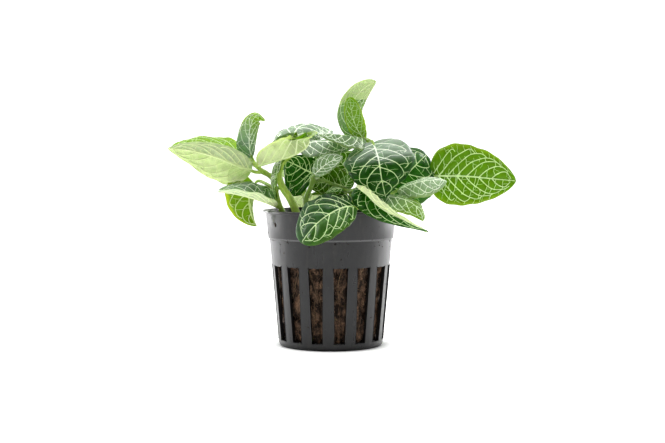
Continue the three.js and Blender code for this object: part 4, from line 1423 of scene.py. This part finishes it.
def leaf_blade(settings):
    """A nerve plant's leaf: deep green cells on the upper side that pale a little towards the
    veins and yellow towards the margin, a pale grey-green underside, a satin surface, painted light
    in the green where a leaf is lit or shaded, a painted silvery sheen on both faces, and light
    through it in yellow-green."""
    material, tree, shader, out = new_material("leaf_blade", 0.4, Specular_IOR_Level=0.3)
    place = object_place(tree)
    under, near = attribute(tree, "under"), attribute(tree, "near")
    rim, young, tone = attribute(tree, "rim"), attribute(tree, "young"), attribute(tree, "tone")
    bloom = attribute(tree, "bloom")
    green = settings.upper
    look = mottled(tree, place, 330.0, 3600.0, scaled(green, 0.6), scaled(green, 1.3), 0.35)
    edge = ranged(tree, rim, 0.9, 1.0, 0.0, 0.5)
    edge = math_node(tree, "MULTIPLY", edge, math_node(tree, "ADD", tone, 0.1), True)
    upper = layered(
        tree,
        look["Color"],
        # Painted light: the green is raised where the leaf is lit, on top of its own tone.
        (tone, (0.05, 0.14, 0.002)),
        (math_node(tree, "MULTIPLY", young, 0.55), (0.1, 0.22, 0.05)),
        (ranged(tree, near, 0.08, 0.4, 0.3, 0.0), (0.07, 0.17, 0.03)),
        # Painted sheen: silvery grey laid into the green as a painted highlight.
        (bloom, (0.34, 0.4, 0.33)),
        (edge, (0.14, 0.24, 0.02)),
    )
    pale = settings.under
    back = mottled(tree, place, 300.0, 3600.0, scaled(pale, 0.82), scaled(pale, 1.1), 0.3)
    # Painted light on the underside: greener where light shines through it, deeper green past 1.1.
    deep = ranged(tree, tone, 1.1, 1.6, 0.0, 0.85)
    grown = layered(
        tree,
        back["Color"],
        (ranged(tree, tone, 0.4, 1.0, 0.0, 0.85), (0.26, 0.36, 0.02)),
        (deep, (0.09, 0.17, 0.005)),
        # The same painted sheen, a painted highlight, on the underside.
        (math_node(tree, "MULTIPLY", bloom, 0.6), (0.62, 0.67, 0.58)),
    )
    colour = mix_colours(tree, ranged(tree, under, 0.3, 0.7), upper, grown)
    rough = ranged(tree, look["Height"], 0.3, 1.1, 0.27, 0.4)
    surface(tree, shader, colour, rough, look["Height"], 0.25, 0.00012)
    glow = mottled(tree, place, 330.0, 3600.0, (0.03, 0.2, 0.003, 1), (0.07, 0.32, 0.006, 1), 0.3)
    margin = ranged(tree, rim, 0.75, 1.0, 0.0, 0.8)
    margin = math_node(tree, "MULTIPLY", margin, math_node(tree, "ADD", tone, 0.05), True)
    layers = (tone, (0.45, 0.72, 0.004)), (deep, (0.16, 0.36, 0.002)), (margin, (0.62, 0.8, 0.02))
    see_through(tree, shader, out, layered(tree, glow["Color"], *layers), 0.36)
    return material


def leaf_vein(settings):
    """The cream vein net, greener towards the ends of the veins and whiter under the painted
    sheen, a painted highlight.
    """
    material, tree, shader, out = new_material("leaf_vein", 0.5, Specular_IOR_Level=0.4)
    place = object_place(tree)
    cream = settings.vein
    look = mottled(tree, place, 500.0, 3600.0, scaled(cream, 0.82), scaled(cream, 1.1), 0.25)
    rank = attribute(tree, "rank")
    below = ranged(tree, attribute(tree, "under"), 0.3, 0.7)
    fade = ranged(tree, rank, 0.1, 1.0, 0.7, 0.95)
    colour = layered(
        tree,
        look["Color"],
        (ranged(tree, attribute(tree, "along"), 0.55, 1.0, 0.0, 0.35), (0.4, 0.62, 0.2)),
        (math_node(tree, "MULTIPLY", rank, 0.3), (0.36, 0.6, 0.2)),
        # Whiter under the painted sheen: a painted highlight on the veins.
        (ranged(tree, attribute(tree, "bloom"), 0.0, 0.6), (0.9, 0.96, 0.84)),
        (math_node(tree, "MULTIPLY", below, fade), (0.56, 0.64, 0.3)),
    )
    rough = ranged(tree, look["Mask"], 0, 1, 0.42, 0.58)
    surface(tree, shader, colour, rough, look["Height"], 0.2, 0.00008)
    see_through(tree, shader, out, (0.9, 1.0, 0.6, 1), 0.3)
    return material


def stem_skin():
    """Pale green, slightly see-through stem skin with long soft streaks, paler at its foot, and
    with painted shade: darker where the shoot gets little light."""
    material, tree, shader, out = new_material("stem_skin", 0.5, Specular_IOR_Level=0.45)
    place = object_place(tree)
    dull, pale = (0.2, 0.33, 0.018, 1), (0.42, 0.52, 0.08, 1)
    look = mottled(tree, stretched(tree, place, 0.3), 500.0, 3400.0, dull, pale, 0.3)
    root = ranged(tree, attribute(tree, "along"), 0.0, 0.3, 0.35, 0.0)
    # Painted shade on the stems of shoots that get little light.
    shade = ranged(tree, attribute(tree, "painted_sun"), 0.0, 1.0, 0.85, 0.0)
    layers = (root, (0.33, 0.36, 0.14)), (shade, (0.06, 0.13, 0.012))
    colour = layered(tree, look["Color"], *layers)
    rough = ranged(tree, look["Mask"], 0, 1, 0.4, 0.6)
    surface(tree, shader, colour, rough, look["Height"], 0.3, 0.0001)
    see_through(tree, shader, out, (0.55, 0.85, 0.25, 1), 0.2)
    return material


def stem_hair():
    """Short white hairs."""
    material, tree, shader, out = new_material("stem_hair", 0.6)
    place = object_place(tree)
    look = mottled(tree, place, 300.0, 2000.0, (0.6, 0.68, 0.5, 1), (0.85, 0.88, 0.78, 1), 0.2)
    tree.links.new(look["Color"], shader.inputs["Base Color"])
    see_through(tree, shader, out, (0.9, 0.95, 0.8, 1), 0.4)
    return material


# ---- Operators ----


def need(condition, message):
    """Stops the script where a step can't finish."""
    if not condition:
        raise RuntimeError(message)


def surround(settings):
    """A world that is dim on the camera's side and bright behind the plant, and white to see."""
    world = bpy.data.worlds.new("surround")
    world.use_nodes = True
    tree = world.node_tree
    background = tree.nodes["Background"]
    background.inputs["Color"].default_value = (1, 1, 1, 1)
    way = add_node(tree, "ShaderNodeTexCoord").outputs["Generated"]
    depth = coordinate(tree, way, "Y")
    light = ranged(tree, depth, -0.7, 0.8, settings.surround_front, settings.surround_back)
    seen = add_node(tree, "ShaderNodeLightPath").outputs["Is Camera Ray"]
    tree.links.new(math_node(tree, "MAXIMUM", light, seen), background.inputs["Strength"])
    return world


def floor_paper(settings):
    """White paper that glows evenly, with a painted contact shadow where the glow is cut off
    under and close around the pot.
    """
    material, tree, shader, _ = new_material(
        "floor_paper", 0.9, Specular_IOR_Level=0.1, Emission_Strength=settings.floor_glow
    )
    shade = rgba(settings.floor_shade)
    place = object_place(tree)
    look = mottled(tree, place, 3.0, 900.0, scaled(shade, 0.995), shade, 0.015)
    tree.links.new(look["Color"], shader.inputs["Base Color"])
    away = add_node(tree, "ShaderNodeVectorMath", {0: place}, operation="LENGTH")
    # Painted shadow: the floor's glow fades out towards the pot's foot.
    lit = ranged(tree, away.outputs["Value"], FOOT_RADIUS * MM, (FOOT_RADIUS + SHADOW_WIDTH) * MM)
    glow = mix_colours(tree, lit, (0, 0, 0, 1), (1, 1, 1, 1))
    tree.links.new(glow, shader.inputs["Emission Color"])
    return material


class NERVEPLANT_OT_stage(bpy.types.Operator):
    """Makes the plain floor, the softboxes and the camera"""

    bl_idname = "nerveplant.stage"
    bl_label = "Stage"

    def execute(self, context):
        settings = context.scene.nerve_stage
        scene = context.scene
        scene.view_settings.view_transform = "Standard"
        scene.view_settings.look = "Medium High Contrast"
        scene.world = surround(settings)
        mesh = bpy.data.meshes.new("floor")
        r = FLOOR_REACH
        mesh.from_pydata([(-r, -r, 0), (r, -r, 0), (r, r, 0), (-r, r, 0)], [], [(0, 1, 2, 3)])
        mesh.materials.append(floor_paper(settings))
        floor = bpy.data.objects.new("floor", mesh)
        scene.collection.objects.link(floor)
        # name, place, width, power, and whether it lights or only shows as gloss
        lamps = (
            ("key", (-0.1, -0.05, 1.05), 1.0, settings.key_power, True),
            ("left", (-0.95, -0.1, 0.55), 0.8, settings.side_power, True),
            ("right", (0.95, 0.0, 0.55), 0.8, settings.side_power, True),
            ("rim_left", (-0.58, 0.34, 0.18), 0.6, settings.rim_power, False),
            ("rim_right", (0.58, 0.34, 0.18), 0.6, settings.rim_power, False),
        )
        for name, place, size, power, lights_all in lamps:
            data = bpy.data.lights.new(name, "AREA")
            data.shape = "SQUARE"
            data.size = size
            data.energy = power
            lamp = bpy.data.objects.new(name, data)
            lamp.location = place
            way = Vector(LAMP_AIM) - Vector(place)
            lamp.rotation_euler = way.to_track_quat("-Z", "Y").to_euler()
            lamp.visible_camera = False
            lamp.visible_diffuse = lights_all
            lamp.visible_transmission = lights_all
            scene.collection.objects.link(lamp)
        camera = bpy.data.cameras.new("camera")
        camera.sensor_width = CAMERA_SENSOR
        camera.lens = CAMERA_LENS
        camera.clip_start = 0.01
        camera.clip_end = 20.0
        view = bpy.data.objects.new("camera", camera)
        view.location = CAMERA_PLACE
        view.rotation_euler = (math.radians(CAMERA_TILT), 0, 0)
        scene.collection.objects.link(view)
        scene.camera = view
        return {"FINISHED"}


def soil_specks():
    """Specks on the pot's outside, most of them near the step and none over a slot, and one large
    crumb on the collar."""
    rng = np.random.default_rng(SPECK_SEED)
    count = SPECK_COUNT
    turn = rng.uniform(0, 2 * np.pi, count)
    turn[0] = CRUMB_TURN
    near_step = rng.uniform(0, 1, count) < 0.45
    step_z = COLLAR_FOOT_Z - 1.2 + rng.normal(0, 0.9, count)
    z = np.clip(np.where(near_step, step_z, rng.uniform(3, 50, count)), 2.5, 50.5)
    z[0] = CRUMB_Z
    r = inside_radius(z) + WALL + 0.04
    sector = 2 * np.pi / SLOT_COUNT
    place = (turn - math.radians(SLOT_TURN - 90)) % sector
    keep = (np.minimum(place, sector - place) * r > 3.2) | (z > SLOT_TOP_Z + 0.6)
    size = np.clip(rng.lognormal(-1.75, 0.45, count), *SPECK_SIZES)
    size[0] = CRUMB_SIZE
    spots, out = polar(r, turn, z), polar(1, turn, 0)
    return grains(spots[keep], size[keep], SPECK_SHAPE_SEED, out[keep])


class NERVEPLANT_OT_pot(bpy.types.Operator):
    """Makes the slotted pot and the soil specks that stick to it"""

    bl_idname = "nerveplant.pot"
    bl_label = "Pot"

    def execute(self, context):
        settings = context.scene.nerve_pot
        parts = [pot_wall(), *pot_floor()]
        pot = make_piece(
            "slotted_pot", parts, [pot_plastic(settings)], ["pot"], 32.0
        )
        need(len(pot.data.polygons) > 1000, "the pot has no faces")
        bevel = pot.modifiers.new("edges", "BEVEL")
        bevel.width = settings.edge_round
        bevel.segments = 2
        bevel.limit_method = "ANGLE"
        bevel.angle_limit = math.radians(50)
        bevel.harden_normals = False
        soil = thread_material("soil_speck", (0.006, 0.004, 0.003, 1), (0.035, 0.022, 0.014, 1))
        make_piece("soil_specks", [soil_specks()], [soil])
        return {"FINISHED"}


class NERVEPLANT_OT_plug(bpy.types.Operator):
    """Makes the growing plug with its fibres, roots and loose crumbs"""

    bl_idname = "nerveplant.plug"
    bl_label = "Growing plug"

    def execute(self, context):
        settings = context.scene.nerve_plug
        stems = [shoot["stems"][0] for shoot in SHOOTS.values()]
        peat = plug_peat(settings)
        make_piece("peat_plug", [plug_body(stems)], [peat], ["growing_plug"])
        dry = scaled(settings.peat, 1.6)
        fibre = thread_material("coir_fibre", scaled(settings.peat, 0.45), dry)
        root = thread_material("root_thread", (0.1, 0.065, 0.038, 1), (0.24, 0.17, 0.1, 1))
        parts = [
            plug_threads(settings.fibres, FIBRE_SEED, (2, 7), (0.04, 0.09), 0.6, (0.1, 0.5), 0),
            plug_threads(settings.roots, ROOT_SEED, (6, 20), (0.1, 0.2), 0.5, (0.15, 0.5), 1),
        ]
        make_piece("fibres_and_roots", parts, [fibre, root])
        make_piece("top_litter", top_litter(stems), [peat, fibre])
        return {"FINISHED"}


def shoot_blades(settings):
    """For each shoot, its blades' parts and its veins' parts. Each leaf has its own seed, so one
    leaf can change without moving the veins of the next."""
    thick = settings.thickness / MM
    result = {}
    number = 0
    for name, shoot in SHOOTS.items():
        blades, veins = [], []
        for data in shoot["leaves"]:
            number += 1
            rng = np.random.default_rng(LEAF_SEED + number)
            sheet = blade_sheet(data, rng, settings.cell / MM)
            pairs = data.get("pairs", 5 if sum(data["half"]) > 6 else 4)
            gap = settings.vein_gap / MM * data.get("gap", 1)
            net = vein_net(sheet, rng, pairs, gap, data.get("bold", 1))
            quilt(sheet, net, settings.puff / MM * min(1.0, sum(data["half"]) / 16))
            young = data.get("young", 0.0)
            # The leaf's own tone from dark to fresh green, also set leaf by leaf as painted light
            # and shade.
            tone = data.get("tone", 0.05 + 0.3 * rng.uniform())
            tone = halves(sheet, tone, data.get("tone_tip", tone))
            # Painted sheen for each half: a silvery highlight laid into the colour.
            bloom = data.get("bloom", 0.0)
            sheet["bloom"] = halves(sheet, bloom, data.get("bloom_tip", bloom))
            turned = data.get("turned", -1)
            place = sheet["u"][:, None] + 0.12 * sheet["v"][None]
            sheet["under"] = smooth((place - turned) / 0.06 + 0.5)
            blades.append(blade_part(sheet, thick, young, tone))
            for kind, raise_up, raise_under, rank in VEIN_KINDS:
                if net[kind]:
                    veins.append(ridges(sheet, net[kind], thick, raise_up, raise_under, rank))
        result[name] = (blades, veins)
    return result


class NERVEPLANT_OT_leaves(bpy.types.Operator):
    """Makes each shoot's leaf blades and the vein net on them"""

    bl_idname = "nerveplant.leaves"
    bl_label = "Leaves and veins"

    def execute(self, context):
        settings = context.scene.nerve_leaf
        green, cream = leaf_blade(settings), leaf_vein(settings)
        for name, (blades, veins) in shoot_blades(settings).items():
            make_piece(name + "_blades", blades, [green], [name])
            make_piece(name + "_veins", veins, [cream])
        return {"FINISHED"}


def stem_parts(shoot):
    """The shoot's stems and leaf stalks as tubes, each a little thicker where leaves join."""
    tubes, lines = [], []
    joints = np.array([data["from"] for data in shoot["leaves"]], float)
    for points, radius in shoot["stems"]:
        path = smooth_path(points, 14 * len(points))
        near = np.linalg.norm(path[:, None] - joints[None], axis=-1).min(1)
        size = lerp(radius[0], radius[1], np.linspace(0, 1, len(path)))
        size = size * (1 + 0.28 * np.exp(-((near / 1.3) ** 2)))
        lines.append((path, size))
    for data in shoot["leaves"]:
        path = stalk_path(data)
        t = np.linspace(0, 1, len(path))
        size = lerp(PETIOLE_RADIUS, PETIOLE_TIP_RADIUS, t) * data.get("stalk", 1)
        size = size * (1 + 0.25 * np.exp(-((t / 0.12) ** 2)))
        size = size * lerp(1, 0.55, smooth((t - 0.75) / 0.25))
        lines.append((path, size))
    for path, size in lines:
        made = tube(path, size, STEM_SIDES)
        share = np.concatenate([np.linspace(0, 1, len(path)).repeat(STEM_SIDES), [0, 1]])
        made["values"] = {"along": share, "painted_sun": np.full(len(share), shoot.get("painted_sun", 0.5))}
        tubes.append(made)
    return tubes, lines


def stem_hairs(lines, rng):
    """Short hairs all round the stems, pointing out and a little forwards."""
    roots, ways, lengths = [], [], []
    for path, size in lines:
        along, across, up = frames_along(path)
        long = np.linalg.norm(np.diff(path, axis=0), axis=1).sum()
        many = int(long * HAIRS_PER_MM)
        at = rng.uniform(0.02, 0.97, many) * (len(path) - 1)
        angle = rng.uniform(0, 2 * np.pi, many)
        k = at.astype(int)
        out = np.cos(angle)[:, None] * across[k] + np.sin(angle)[:, None] * up[k]
        start = lerp(path[k], path[k + 1], (at - k)[:, None]) + out * size[k][:, None] * 0.97
        above = start[:, 2] > PLUG_TOP_Z + 0.6
        roots.append(start[above])
        ways.append((out + 0.35 * along[k] + rng.normal(0, 0.22, (many, 3)))[above])
        lengths.append(rng.uniform(0.25, 0.62, many)[above])
    roots, ways, lengths = (np.concatenate(rows) for rows in (roots, ways, lengths))
    return hairs(roots, ways, lengths, HAIR_RADIUS, 1)


class NERVEPLANT_OT_stems(bpy.types.Operator):
    """Makes each shoot's stems, leaf stalks and their hairs"""

    bl_idname = "nerveplant.stems"
    bl_label = "Stems and hairs"

    def execute(self, context):
        skin, hair = stem_skin(), stem_hair()
        for number, (name, shoot) in enumerate(SHOOTS.items()):
            tubes, lines = stem_parts(shoot)
            fuzz = stem_hairs(lines, np.random.default_rng(HAIR_SEED + number))
            half = np.full(len(fuzz["points"]), 0.5)
            fuzz["values"] = {"along": half, "painted_sun": half}
            make_piece(name + "_stems", [*tubes, fuzz], [skin, hair], [name])
        return {"FINISHED"}


class NERVEPLANT_PT_panel(bpy.types.Panel):
    """Lists the pieces of the potted nerve plant"""

    bl_idname = "NERVEPLANT_PT_panel"
    bl_label = "Potted nerve plant"
    bl_space_type = "VIEW_3D"
    bl_region_type = "UI"
    bl_category = "Plant"

    def draw(self, context):
        for key, _, *operators in STEPS:
            box = self.layout.box()
            for operator in operators:
                box.operator(operator.bl_idname)
            settings = getattr(context.scene, key)
            for name in settings.__annotations__:
                box.prop(settings, name)


# The scene's name for a group of settings, the group, and the operators that use it.
STEPS = (
    ("nerve_stage", StageSettings, NERVEPLANT_OT_stage),
    ("nerve_pot", PotSettings, NERVEPLANT_OT_pot),
    ("nerve_plug", PlugSettings, NERVEPLANT_OT_plug),
    ("nerve_leaf", LeafSettings, NERVEPLANT_OT_stems, NERVEPLANT_OT_leaves),
)


def register():
    for key, *classes in STEPS:
        for made in classes:
            bpy.utils.register_class(made)
        setattr(bpy.types.Scene, key, PointerProperty(type=classes[0]))
    bpy.utils.register_class(NERVEPLANT_PT_panel)


def unregister():
    bpy.utils.unregister_class(NERVEPLANT_PT_panel)
    for key, *classes in reversed(STEPS):
        delattr(bpy.types.Scene, key)
        for made in reversed(classes):
            bpy.utils.unregister_class(made)


def main():
    """Registers the add-on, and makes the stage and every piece."""
    register()
    bpy.ops.nerveplant.stage()
    bpy.ops.nerveplant.pot()
    bpy.ops.nerveplant.plug()
    bpy.ops.nerveplant.stems()
    bpy.ops.nerveplant.leaves()
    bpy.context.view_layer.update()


if __name__ == "__main__":
    main()
